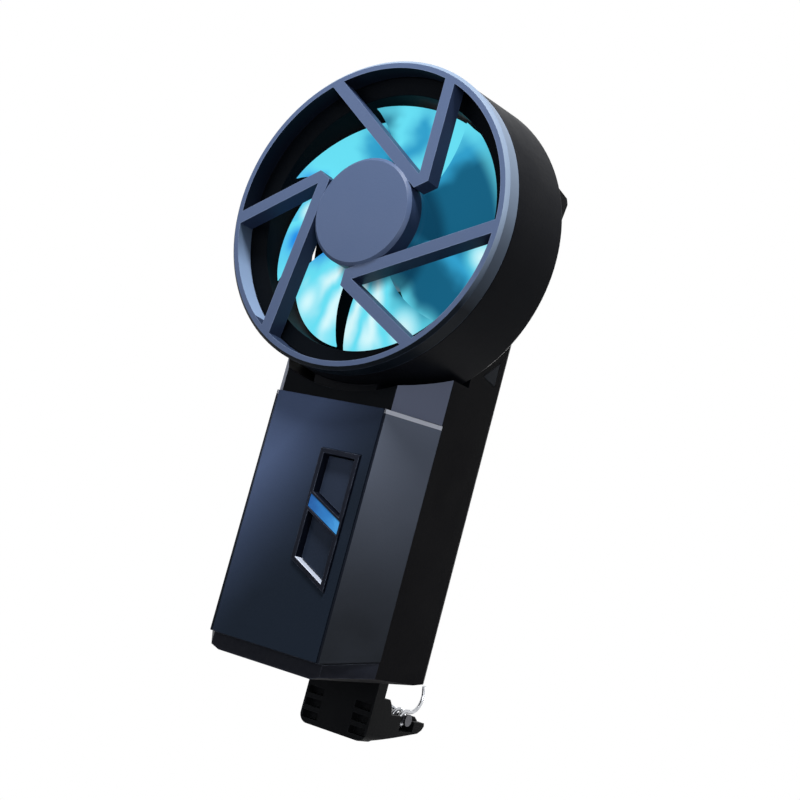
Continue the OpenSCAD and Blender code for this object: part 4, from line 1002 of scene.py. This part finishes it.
class FanHead(Assembly):
    """The grille, drum, duct and guard round the impeller."""

    @dataclass(frozen=True)
    class Sizes:
        """Sizes in millimetres."""

        middle: Point = AXIS
        ring_inside: float = 17.5
        wall_low: float = 3.4
        screw_at: float = 16.75
        screw_angles: tuple[float, ...] = (90.0, 210.0, 330.0)
        screw_front: float = -17.2
        screw_back: float = -13.05
        head: float = 0.7
        head_depth: float = 0.55
        head_steps: tuple[tuple[float, float], ...] = ((0.0, 0.16), (0.06, 0.05), (0.16, 0.0))
        shank: float = 0.475
        point: float = 0.3
        point_share: float = 0.6
        lead: float = 0.1
        threads: int = 14
        thread: float = 0.08
        recess: float = 0.5
        recess_half: float = 0.11
        recess_depth: float = 0.3
        recess_steps: tuple[float, ...] = (0.5, 0.49, 0.4, 0.3, 0.2, 0.12, 0.05)

    sizes = Sizes()

    def build(self) -> None:
        """Builds the head's pieces."""
        s = self.sizes
        # The grille's side walls, inner ring wall and outer rim take finishes with painted light and shade.
        self.soften("front_grille", "grille", Slot.GRILLE, 0.16, least=0.3, more=(
            ("grille_side_shade", lambda face: abs(face.normal.y) < 0.3),
            ("grille_wall_shade_and_light", lambda face: self._outward(face) < -0.7
             and face.calc_center_median().z > s.wall_low),
            ("grille_rim_light_and_shade", lambda face: self._outward(face) > 0.4)))
        self.soften("drum_housing", "drum", Slot.BLACK, 0.15, least=0.6)
        self.soften("air_duct", "duct", Slot.BLACK, 0.1, least=0.6)
        self.soften("rear_guard", "duct", Slot.BLACK, 0.12, least=0.3)
        self._screws()

    def _outward(self, face: Face) -> float:
        """Tells how far a face of the ring turns away from the axis.

        Args:
            face: The face.

        Returns:
            1 for a face turned straight out, -1 for one turned in and 0 for a face that isn't on the ring.
        """
        s, middle = self.sizes, face.calc_center_median()
        spoke = Vector((middle.x, 0.0, middle.z - s.middle[2]))
        return face.normal.dot(spoke) / spoke.length if spoke.length > s.ring_inside - 0.1 else 0.0

    def _screws(self) -> None:
        """Builds the guard's screws, whose heads have a crossed recess."""
        s, shape = self.sizes, Shape()
        for angle in s.screw_angles:
            x = s.screw_at * math.cos(math.radians(angle))
            z = s.middle[2] + s.screw_at * math.sin(math.radians(angle))
            self._screw(shape, x, z)
        self.stand(shape, "guard_screw_heads", "screws", Rides.FRAME, Slot.SCREW, "guard_screws")

    def _screw(self, shape: Shape, x: float, z: float) -> None:
        """Adds one screw.

        Args:
            shape: The shape to add it to.
            x: Its place across.
            z: Its height.
        """
        s, sides = self.sizes, 48

        def ring(radius: float, depth: float, crossed: bool = False) -> list[Vector]:
            """Gives one ring of the screw.

            Args:
                radius: Its radius.
                depth: Its place along the screw.
                crossed: Whether the recess dips into it.

            Returns:
                The ring's points.
            """
            points = []
            for a in (math.tau * k / sides for k in range(sides)):
                u, v = radius * math.cos(a), radius * math.sin(a)
                arm = crossed and radius < s.recess and min(abs(u), abs(v)) < s.recess_half
                points.append(Vector((x + u, depth - (s.recess_depth if arm else 0.0), z + v)))
            return points

        face, neck, start = s.screw_back, s.screw_back - s.head_depth, s.screw_front + s.point
        rings = [ring(s.shank * s.point_share, s.screw_front), ring(s.shank, start)]
        for k in range(s.threads):
            at = start + s.lead + (neck - start - s.lead) * k / s.threads
            rings.append(ring(s.shank if k % 2 else s.shank - s.thread, at))
        rings += [ring(s.shank, neck), ring(s.head, neck)]
        rings += [ring(s.head - inset, face - below) for inset, below in s.head_steps]
        rings += [ring(radius, face, True) for radius in s.recess_steps]
        shape.skin(rings)


class Impeller(Assembly):
    """The lit blades on their hub."""

    @dataclass(frozen=True)
    class Sizes:
        """Sizes in millimetres and degrees."""

        middle: Point = AXIS
        blades: int = 7
        root: float = 5.9
        tip: float = 15.1
        front: float = 4.1
        depth: float = 4.4
        start: float = 14.0
        sweep: float = 21.0
        wrap: float = 60.2
        half: float = 3.0
        root_grow: float = 0.9
        tip_drop: float = 0.12
        tip_share: float = 0.55
        hub: float = 6.2
        hub_round: float = 0.6
        hub_front: float = 3.5
        hub_back: float = 10.0
        cup: float = 5.6
        floor: float = 4.4
        boss: float = 1.55
        boss_back: float = 4.9
        bore: float = 0.75
        bore_front: float = 3.95

    sizes = Sizes()

    def build(self) -> None:
        """Builds the hub and its blades as one moulding."""
        s, shape = self.sizes, Shape()
        r = s.hub_round
        corner = [(s.hub - r + r * math.sin(a), s.hub_front + r - r * math.cos(a))
                  for a in (math.radians(15 * k) for k in range(7))]
        shape.turn([
            (0.01, s.hub_front), *corner, (s.hub, s.hub_back), (s.cup, s.hub_back), (s.cup, s.floor),
            (s.boss, s.floor), (s.boss, s.boss_back), (s.bore, s.boss_back), (s.bore, s.bore_front),
            (0.01, s.bore_front)], s.middle)
        for k in range(s.blades):
            shape.skin(list(self._blade(360.0 * k / s.blades)))
        self.stand(shape, "lit_blades", "blade_glow", Rides.ROTOR, Slot.BLADE, "impeller", 50.0)

    def _blade(self, start: float) -> Iterator[list[Vector]]:
        """Gives the rings of one blade, from its root to its tip.

        Args:
            start: Angle of its root's front edge.

        Yields:
            One ring round the blade's section.
        """
        s, reaches, steps = self.sizes, 14, 22
        for i in range(reaches + 2):
            last = i == reaches + 1
            share = min(i / reaches, 1.0)
            radius = s.root + (s.tip - s.root) * share - (s.tip_drop if i == reaches else 0.0)
            fillet = 1.0 + s.root_grow * (1.0 - share) ** 3
            ring = []
            for side, order in ((1, range(steps + 1)), (-1, range(steps - 1, 0, -1))):
                for j in order:
                    t = j / steps
                    thick = s.half * fillet * (1.0 - (2.0 * t - 1.0) ** 10) * (s.tip_share if last else 1.0)
                    a = math.radians(start + s.start - s.sweep * share + s.wrap * t + side * thick)
                    ring.append(Vector((radius * math.cos(a), s.middle[1] + s.front + s.depth * t,
                                        s.middle[2] - radius * math.sin(a))))
            yield ring


class Motor(Assembly):
    """The motor inside the hub."""

    @dataclass(frozen=True)
    class Sizes:
        """Sizes in millimetres."""

        middle: Point = AXIS
        poles: int = 4
        inner: float = 2.45
        outer: float = 3.44
        front: float = 5.85
        back: float = 9.5
        half: float = 0.6
        wire: float = 0.11
        layers: int = 2

    sizes = Sizes()

    def build(self) -> None:
        """Winds the coils and dresses the other pieces."""
        for node, finish in (
                ("rotor_yoke", "motor_steel"), ("magnet_ring", "magnet"), ("rotor_shaft", "motor_steel"),
                ("bearing_sleeve", "bronze"), ("stator_core", "motor_steel"), ("motor_board", "board"),
                ("blade_leds", "lamps"), ("fan_lead", "lead")):
            self.dress(node, finish)
        self._coils()

    def _coils(self) -> None:
        """Winds enamelled wire round each pole."""
        s, shape = self.sizes, Shape()
        turns = int((s.outer - s.inner) / (2 * s.wire))
        for pole in range(s.poles):
            spin = Matrix.Rotation(math.tau * pole / s.poles, 3, "Y")
            for layer in range(s.layers):
                grow = (2 * layer + 1) * s.wire
                for k in range(turns):
                    reach = s.inner + (2 * k + 1) * s.wire
                    line = [Vector(s.middle) + spin @ Vector((reach, d, w))
                            for d, w in self._loop(s.front - grow, s.back + grow, s.half + grow, grow)]
                    shape.tube(line, s.wire, 6, True)
        self.stand(shape, "wound_coils", "copper", Rides.FRAME, Slot.COPPER, "stator_windings", 70.0)

    @staticmethod
    def _loop(front: float, back: float, half: float, round_r: float) -> list[tuple[float, float]]:
        """Gives a round-cornered loop.

        Args:
            front: Least depth.
            back: Greatest depth.
            half: Half its width.
            round_r: Radius of its corners.

        Returns:
            Depth and width of each point.
        """
        points = []
        for quarter, (d, w) in enumerate(((back, half), (front, half), (front, -half), (back, -half))):
            d_in = d - round_r if d == back else d + round_r
            w_in = w - round_r if w > 0 else w + round_r
            for k in range(4):
                a = math.radians(90 * quarter + 30 * k)
                points.append((d_in + round_r * math.cos(a), w_in + round_r * math.sin(a)))
        return points


class Handle(Assembly):
    """The body with its cover, panel, keys and what is inside."""

    @dataclass(frozen=True)
    class Sizes:
        """Places where one finish ends and the next begins, and the inlet's sizes, in millimetres."""

        front: float = -15.0
        neck_low: float = -8.0
        cover_edge: float = -4.6
        sill: float = -19.0
        inlet_round: float = 0.06
        inlet_least: float = 0.3
        tongue: tuple[float, float] = (3.4, 0.4)
        throat: float = 0.35
        contacts: int = 12
        contact_pitch: float = 0.5
        contact_half: float = 0.13
        contact_at: float = 0.345
        contact_thick: float = 0.03
        contact_low: float = 0.9
        contact_long: float = 3.2

    sizes = Sizes()

    def build(self) -> None:
        """Builds the body's pieces."""
        s = self.sizes
        # The body's front faces take painted light, lighter towards the top.
        self.soften("body_housing", "body", Slot.BLACK, 0.14, least=0.6, more=(
            ("body_front_light_and_shade", lambda face: face.normal.y < -0.3 and face.calc_center_median().y < s.front),
            ("neck_front", lambda face: face.normal.y < -0.9 and face.calc_center_median().z > s.neck_low)))
        # Faces above the cut along the cover's top edge take the painted highlight.
        self.soften("front_cover", "cover", Slot.COVER, 0.08, least=0.4, cuts=(s.cover_edge,), more=(
            ("cover_lip", lambda face: face.normal.y < -0.72),
            ("cover_edge", lambda face: abs(face.normal.x) > 0.3 and face.normal.y < -0.3
             and face.calc_center_median().z > s.cover_edge)))
        self.soften("front_panel", "panel", Slot.PANEL, 0.06, least=0.4)
        self.soften("side_mark", "mark", Slot.MARK, 0.05)
        # The lower window's sill takes the painted highlight.
        self.soften("key_frame", "key_frame", Slot.KEY, 0.07, least=0.3, more=(
            ("key_sill_highlight", lambda face: face.normal.z > 0.3 and face.calc_center_median().z < s.sill),))
        self.soften("light_bar", "lit_bar", Slot.LIT, 0.07, least=0.3)
        self.soften("power_key", "keys", Slot.KEY, 0.1, Rides.UPPER_KEY, least=0.3)
        self.soften("speed_key", "keys", Slot.KEY, 0.1, Rides.LOWER_KEY, least=0.3)
        for node, finish in (("neck_screws", "screws"), ("tact_switches", "chips"), ("bar_led", "lamps"),
                             ("main_board", "board"), ("board_chips", "chips"), ("board_screws", "screws"),
                             ("battery", "foil"), ("battery_tape", "tape")):
            self.dress(node, finish)
        self._inlet()

    def _inlet(self) -> None:
        """Builds the inlet's shell with its dark tongue, and the contacts on the tongue."""
        s = self.sizes
        low, high = corners("usb_inlet")
        middle = (low + high) / 2
        shape = Shape.of_node("usb_inlet").round_edges(s.inlet_round, s.inlet_least)
        for face in shape.mesh.faces:
            spot = face.calc_center_median()
            on_tongue = abs(spot.x) < s.tongue[0] and abs(spot.y - middle.y) < s.tongue[1]
            face.material_index = 1 if on_tongue and spot.z < high.z - s.throat else 0
        finishes = [self.palette["inlet"], self.palette["chips"]]
        self.seat(shape.place("inlet_shell", finishes), Rides.FRAME, Slot.INLET, "usb_inlet")
        strips, rise = Shape(), Vector((0.0, 0.0, s.contact_long))
        for side in (-1, 1):
            for k in range(s.contacts):
                x = (k - (s.contacts - 1) / 2) * s.contact_pitch
                foot = [Vector((x + u * s.contact_half, middle.y + side * (s.contact_at + d),
                                low.z + s.contact_low))
                        for u, d in ((-1, 0.0), (1, 0.0), (0.8, s.contact_thick), (-0.8, s.contact_thick))]
                strips.skin([foot, [point + rise for point in foot]])
        self.seat(strips.place("inlet_contacts", [self.palette["contacts"]]), Rides.FRAME, Slot.INLET)


class Clamp(Assembly):
    """The bar with its hook, pads and return spring."""

    @dataclass(frozen=True)
    class Sizes:
        """Sizes in millimetres."""

        groove_pitch: float = 4.0
        groove: float = 0.6
        groove_depth: float = 0.25
        groove_margin: float = 1.9
        grip_border: float = 0.22
        rib_first: float = 1.2
        rib_pitch: float = 1.25
        ribs: int = 5
        rib_groove: float = 0.5
        rib_depth: float = 0.2
        hook_border: float = 0.18
        spring_wire: float = 0.18
        spring_turns: int = 26
        spring_close: float = 0.035
        spring_points: int = 14

    sizes = Sizes()

    def build(self) -> None:
        """Builds the clamp's pieces."""
        self.soften("clamp_bar", "clamp", Slot.BLACK, 0.16, least=0.5)
        self.soften("bar_lid", "clamp", Slot.BLACK, 0.12, least=0.5)
        self.dress("bar_screws", "screws")
        self.dress("guide_screw", "screws")
        self._grip()
        self._hook_pad()
        self._spring()

    def _grip(self) -> None:
        """Builds the grooved pad that lies on the phone's back."""
        s = self.sizes
        low, high = corners("grip_pad")
        first = math.ceil((low.z + s.groove_pitch / 2) / s.groove_pitch)
        last = math.floor((high.z - s.groove_pitch / 2) / s.groove_pitch)
        places = [(k + 0.5) * s.groove_pitch for k in range(first - 1, last + 1)]
        lines = tuple(z for z in places if low.z + s.groove_margin < z < high.z - s.groove_margin)
        pad = RubberPad(low.x, high.x, low.z, high.z, high.y - low.y, s.grip_border, lines, s.groove,
                        s.groove_depth)
        shape = pad.shape(lambda u, v, h: Vector((u, low.y + h, v)))
        piece = self.stand(shape, "grip_rubber", "grip", Rides.FRAME, Slot.RUBBER, "grip_pad", 60.0)

    def _hook_pad(self) -> None:
        """Builds the ribbed pad under the hook."""
        s = self.sizes
        low, high = corners("hook_pad")
        lines = tuple(low.y + s.rib_first + s.rib_pitch * k for k in range(s.ribs))
        pad = RubberPad(low.x, high.x, low.y, high.y, high.z - low.z, s.hook_border, lines, s.rib_groove,
                        s.rib_depth)
        shape = pad.shape(lambda u, v, h: Vector((u, v, high.z - h)))
        piece = self.stand(shape, "hook_rubber", "grip", Rides.FRAME, Slot.RUBBER, "hook_pad", 60.0)

    def _spring(self) -> None:
        """Winds the return spring, with close turns at its ends."""
        s = self.sizes
        low, high = corners("return_spring")
        middle, radius = (low + high) / 2, (high.x - low.x) / 2 - s.spring_wire
        count = s.spring_turns * s.spring_points
        line = []
        for k in range(count + 1):
            t = k / count
            a = math.tau * s.spring_turns * t
            eased = t - s.spring_close * math.sin(math.tau * t) / math.tau * 2.0
            z = low.z + s.spring_wire + (high.z - low.z - 2 * s.spring_wire) * eased
            line.append(Vector((middle.x + radius * math.cos(a), middle.y + radius * math.sin(a), z)))
        shape = Shape()
        shape.tube(line, s.spring_wire, 10)
        self.stand(shape, "wound_return_spring", "spring", Rides.FRAME, Slot.SPRING, "return_spring", 70.0)


@dataclass(frozen=True)
class RubberPad:
    """A flat rubber pad with rounded borders and grooves across its face."""

    left: float
    right: float
    near: float
    far: float
    thick: float
    border: float
    grooves: tuple[float, ...]
    groove: float
    groove_depth: float

    def _stations(self, start: float, end: float, extra: Sequence[float] = ()) -> list[float]:
        """Gives the places of the grid's lines between two borders.

        Args:
            start: One border.
            end: The other border.
            extra: More places between them.

        Returns:
            The places in order.
        """
        steps = [self.border * (1.0 - math.cos(math.radians(18 * k))) for k in range(6)]
        places = [start + d for d in steps] + [end - d for d in steps] + list(extra)
        return sorted({round(p, 4) for p in places})

    def _height(self, u: float, v: float) -> float:
        """Gives the face's height.

        Args:
            u: Place across.
            v: Place along.

        Returns:
            Height above the pad's seat.
        """
        edge = min(u - self.left, self.right - u, v - self.near, self.far - v)
        drop = self.border - math.sqrt(max(self.border ** 2 - max(self.border - edge, 0.0) ** 2, 0.0))
        cut = 0.0
        for line in self.grooves:
            away = abs(v - line) / (self.groove / 2)
            if away < 1.0:
                cut = max(cut, self.groove_depth * (1.0 - away ** 4))
        return self.thick - max(drop, cut)

    def shape(self, place: Callable[[float, float, float], Vector]) -> Shape:
        """Builds the pad.

        Args:
            place: Turns a place across, a place along and a height into a point of the part.

        Returns:
            The pad's shape.
        """
        shares = (-1, -0.9, -0.6, 0, 0.6, 0.9, 1)
        cuts = [line + self.groove / 2 * share for line in self.grooves for share in shares]
        between = [self.left + (self.right - self.left) * k / 6 for k in range(1, 6)]
        across = self._stations(self.left, self.right, between)
        along = self._stations(self.near, self.far, cuts)
        made = Shape()
        verts = [[made.mesh.verts.new(place(u, v, self._height(u, v))) for v in along] for u in across]
        wide, long = len(across), len(along)
        for i in range(wide - 1):
            for j in range(long - 1):
                made.mesh.faces.new((verts[i][j], verts[i + 1][j], verts[i + 1][j + 1], verts[i][j + 1]))
        rim = [(i, 0) for i in range(wide)] + [(wide - 1, j) for j in range(1, long)]
        rim += [(i, long - 1) for i in range(wide - 2, -1, -1)] + [(0, j) for j in range(long - 2, 0, -1)]
        foot = [made.mesh.verts.new(place(across[i], along[j], 0.0)) for i, j in rim]
        for k in range(len(rim)):
            n = (k + 1) % len(rim)
            (i, j), (p, q) = rim[k], rim[n]
            made.mesh.faces.new((verts[i][j], verts[p][q], foot[n], foot[k]))
        made.mesh.faces.new(tuple(foot))
        return made


class Jaw(Assembly):
    """The sliding jaw with its foot, its pad and its wire finger."""

    @dataclass(frozen=True)
    class Sizes:
        """Sizes of the wire and the foot's pad in millimetres and degrees."""

        wire: float = 0.25
        coil_x: tuple[float, float] = (2.025, 4.5)
        coil_y: float = 4.3
        coil_z: float = -37.888
        coil: float = 1.0
        turns: float = 2.25
        run: float = 0.9
        bend: float = 2.0
        end: float = 20.0
        tail: float = 0.7
        turn_points: int = 40
        bend_points: int = 24
        rib_first: float = 1.1
        rib_pitch: float = 1.2
        ribs: int = 5
        rib_groove: float = 0.45
        rib_depth: float = 0.15
        border: float = 0.14

    sizes = Sizes()

    def build(self) -> None:
        """Builds the jaw's pieces."""
        self.soften("jaw_plate", "jaw", Slot.JAW, 0.14, Rides.JAW, least=0.3)
        self.dress("finger_pin", "screws")
        self._foot_pad()
        self._finger()

    def _foot_pad(self) -> None:
        """Builds the ribbed pad on the foot."""
        s = self.sizes
        low, high = corners("foot_pad")
        lines = tuple(low.y + s.rib_first + s.rib_pitch * k for k in range(s.ribs))
        pad = RubberPad(low.x, high.x, low.y, high.y, high.z - low.z, s.border, lines, s.rib_groove,
                        s.rib_depth)
        shape = pad.shape(lambda u, v, h: Vector((u, v, low.z + h)))
        piece = self.stand(shape, "foot_rubber", "rubber", Rides.JAW, Slot.RUBBER, "foot_pad", 60.0)

    def _finger(self) -> None:
        """Bends the wire: tail, coil, straight run, bend and end."""
        s = self.sizes
        x0, x1 = s.coil_x
        line = [Vector((x0, s.coil_y - s.coil, s.coil_z - below)) for below in (s.tail, s.tail / 2)]
        steps = int(s.turns * s.turn_points)
        for k in range(steps + 1):
            t = k / steps
            a = math.pi - math.tau * s.turns * t
            line.append(Vector((x0 + (x1 - x0) * t, s.coil_y + s.coil * math.cos(a),
                                s.coil_z + s.coil * math.sin(a))))
        middle_y, middle_z = s.coil_y + s.run, s.coil_z + s.coil + s.bend
        for k in range(s.bend_points + 1):
            a = math.radians(-90 + (90 + s.end) * k / s.bend_points)
            line.append(Vector((x1, middle_y + s.bend * math.cos(a), middle_z + s.bend * math.sin(a))))
        lean = math.radians(s.end)
        line.append(line[-1] + s.tail * Vector((0.0, -math.sin(lean), math.cos(lean))))
        shape = Shape()
        shape.tube(line, s.wire, 16)
        self.stand(shape, "bent_finger", "spring", Rides.FINGER, Slot.SPRING, "wire_finger", 60.0)


@dataclass(frozen=True)
class Lamp:
    """A soft square lamp."""

    name: str
    place: Point
    size: float
    power: float
    shade: Colour = (1.0, 1.0, 1.0)

    def hang(self, aim: Point) -> None:
        """Hangs the lamp.

        Args:
            aim: The point that it looks at, in metres.
        """
        light = bpy.data.lights.new(self.name, "AREA")
        light.shape, light.size, light.energy, light.color = "SQUARE", self.size, self.power, self.shade
        lamp = bpy.data.objects.new(self.name, light)
        lamp.location = self.place
        lamp.rotation_euler = (Vector(aim) - Vector(self.place)).to_track_quat("-Z", "Y").to_euler()
        bpy.context.scene.collection.objects.link(lamp)


@dataclass
class Studio:
    """Camera, lamps, pale floor and white surround."""

    eye: Point = (95.07, -147.03, -22.7)
    yaw: float = 34.41
    pitch: float = -7.44
    roll: float = -15.06
    lens: float = 63.05
    sensor: float = 36.0
    aim: Point = (0.0, -0.015, 0.0)
    floor_z: float = -0.15
    floor_r: float = 0.42
    lamps: tuple[Lamp, ...] = (
        Lamp("high_lamp", (0.06, -0.23, 0.467), 0.14, 4.8, (1.0, 0.99, 0.98)),
        Lamp("front_lamp", (-0.2, -0.5, 0.1), 0.3, 1.0, (0.95, 0.97, 1.0)),
        Lamp("right_lamp", (0.34, -0.4, -0.02), 0.25, 1.0, (0.97, 0.98, 1.0)),
        Lamp("back_lamp", (-0.05, 0.5, 0.05), 0.26, 2.4),
    )

    def build(self) -> None:
        """Sets up the whole studio."""
        self._camera()
        self._surround()
        self._floor()
        for lamp in self.lamps:
            lamp.hang(self.aim)
        bpy.context.scene.view_settings.view_transform = "Standard"

    def _camera(self) -> None:
        """Places the camera as it stood for the photograph."""
        yaw, pitch, roll = (math.radians(a) for a in (self.yaw, self.pitch, self.roll))
        ahead = Vector((-math.sin(yaw) * math.cos(pitch), math.cos(yaw) * math.cos(pitch), -math.sin(pitch)))
        level = Vector((math.cos(yaw), math.sin(yaw), 0.0))
        down = ahead.cross(level)
        right = math.cos(roll) * level + math.sin(roll) * down
        below = -math.sin(roll) * level + math.cos(roll) * down
        turned = Matrix((right, -below, -ahead)).transposed().to_4x4()
        data = bpy.data.cameras.new("portrait")
        data.lens, data.sensor_width = self.lens, self.sensor
        data.clip_start, data.clip_end = 0.005, 10.0
        camera = bpy.data.objects.new("portrait", data)
        camera.matrix_world = Matrix.Translation(Vector(self.eye) * MM) @ turned
        bpy.context.scene.collection.objects.link(camera)
        bpy.context.scene.camera = camera

    @staticmethod
    def _surround() -> None:
        """Makes the surround white to the eye and soft as a light."""
        world = bpy.data.worlds.new("surround")
        bpy.context.scene.world = world
        world.use_nodes = True
        wires = Wiring(world.node_tree)
        path = wires.place("LightPath")
        seen = wires.math("MAXIMUM", path.outputs["Is Camera Ray"], path.outputs["Is Glossy Ray"])
        seen = wires.math("MAXIMUM", seen, path.outputs["Is Transmission Ray"])
        white, soft = wires.place("Background"), wires.place("Background")
        wires.fill(white, {"Strength": 1.0, "Color": (1.0, 1.0, 1.0)})
        wires.fill(soft, {"Strength": 0.05, "Color": (0.96, 0.98, 1.0)})
        wires.blend(seen, soft.outputs[0], white.outputs[0], "OutputWorld")

    def _floor(self) -> None:
        """Lays a round floor, pale to the eye, that fades out at its rim."""
        shape = bmesh.new()
        bmesh.ops.create_circle(shape, cap_ends=True, segments=96, radius=self.floor_r)
        mesh = bpy.data.meshes.new("pale_floor")
        shape.to_mesh(mesh)
        shape.free()
        floor = bpy.data.objects.new("pale_floor", mesh)
        floor.location = (0.0, 0.0, self.floor_z)
        bpy.context.scene.collection.objects.link(floor)
        material = bpy.data.materials.new("floor_paint")
        material.use_nodes = True
        wires = Wiring(material.node_tree)
        length = wires.place("VectorMath", operation="LENGTH")
        wires.feed(length.inputs[0], wires.where())
        fade = wires.spread(length.outputs["Value"], self.floor_r * 0.4, self.floor_r * 0.98, smooth=True)
        paint, clear = wires.place("BsdfDiffuse"), wires.place("BsdfTransparent")
        bounced = wires.place("LightPath").outputs["Is Diffuse Ray"]
        wires.feed(paint.inputs["Color"], wires.mix(bounced, (0.9, 0.9, 0.9), (0.1, 0.1, 0.1)))
        wires.blend(fade, paint.outputs[0], clear.outputs[0], "OutputMaterial")
        mesh.materials.append(material)
        floor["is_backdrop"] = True


def write_sizes() -> None:
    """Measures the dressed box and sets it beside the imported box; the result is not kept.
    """
    boxes = {"cad": CAD_BOX, "visual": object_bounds()}
    {name: [list(corner) for corner in box] for name, box in boxes.items()}


def main() -> None:
    """Builds the studio and every sub-assembly in order."""
    logging.basicConfig(level=logging.INFO, format="%(name)s %(message)s")
    Studio().build()
    palette = Palette()
    for part in (FanHead, Impeller, Motor, Handle, Clamp, Jaw):
        LOG.info("building %s", part.__name__)
        part(palette).build()
    write_sizes()


if __name__ == "__main__":
    main()
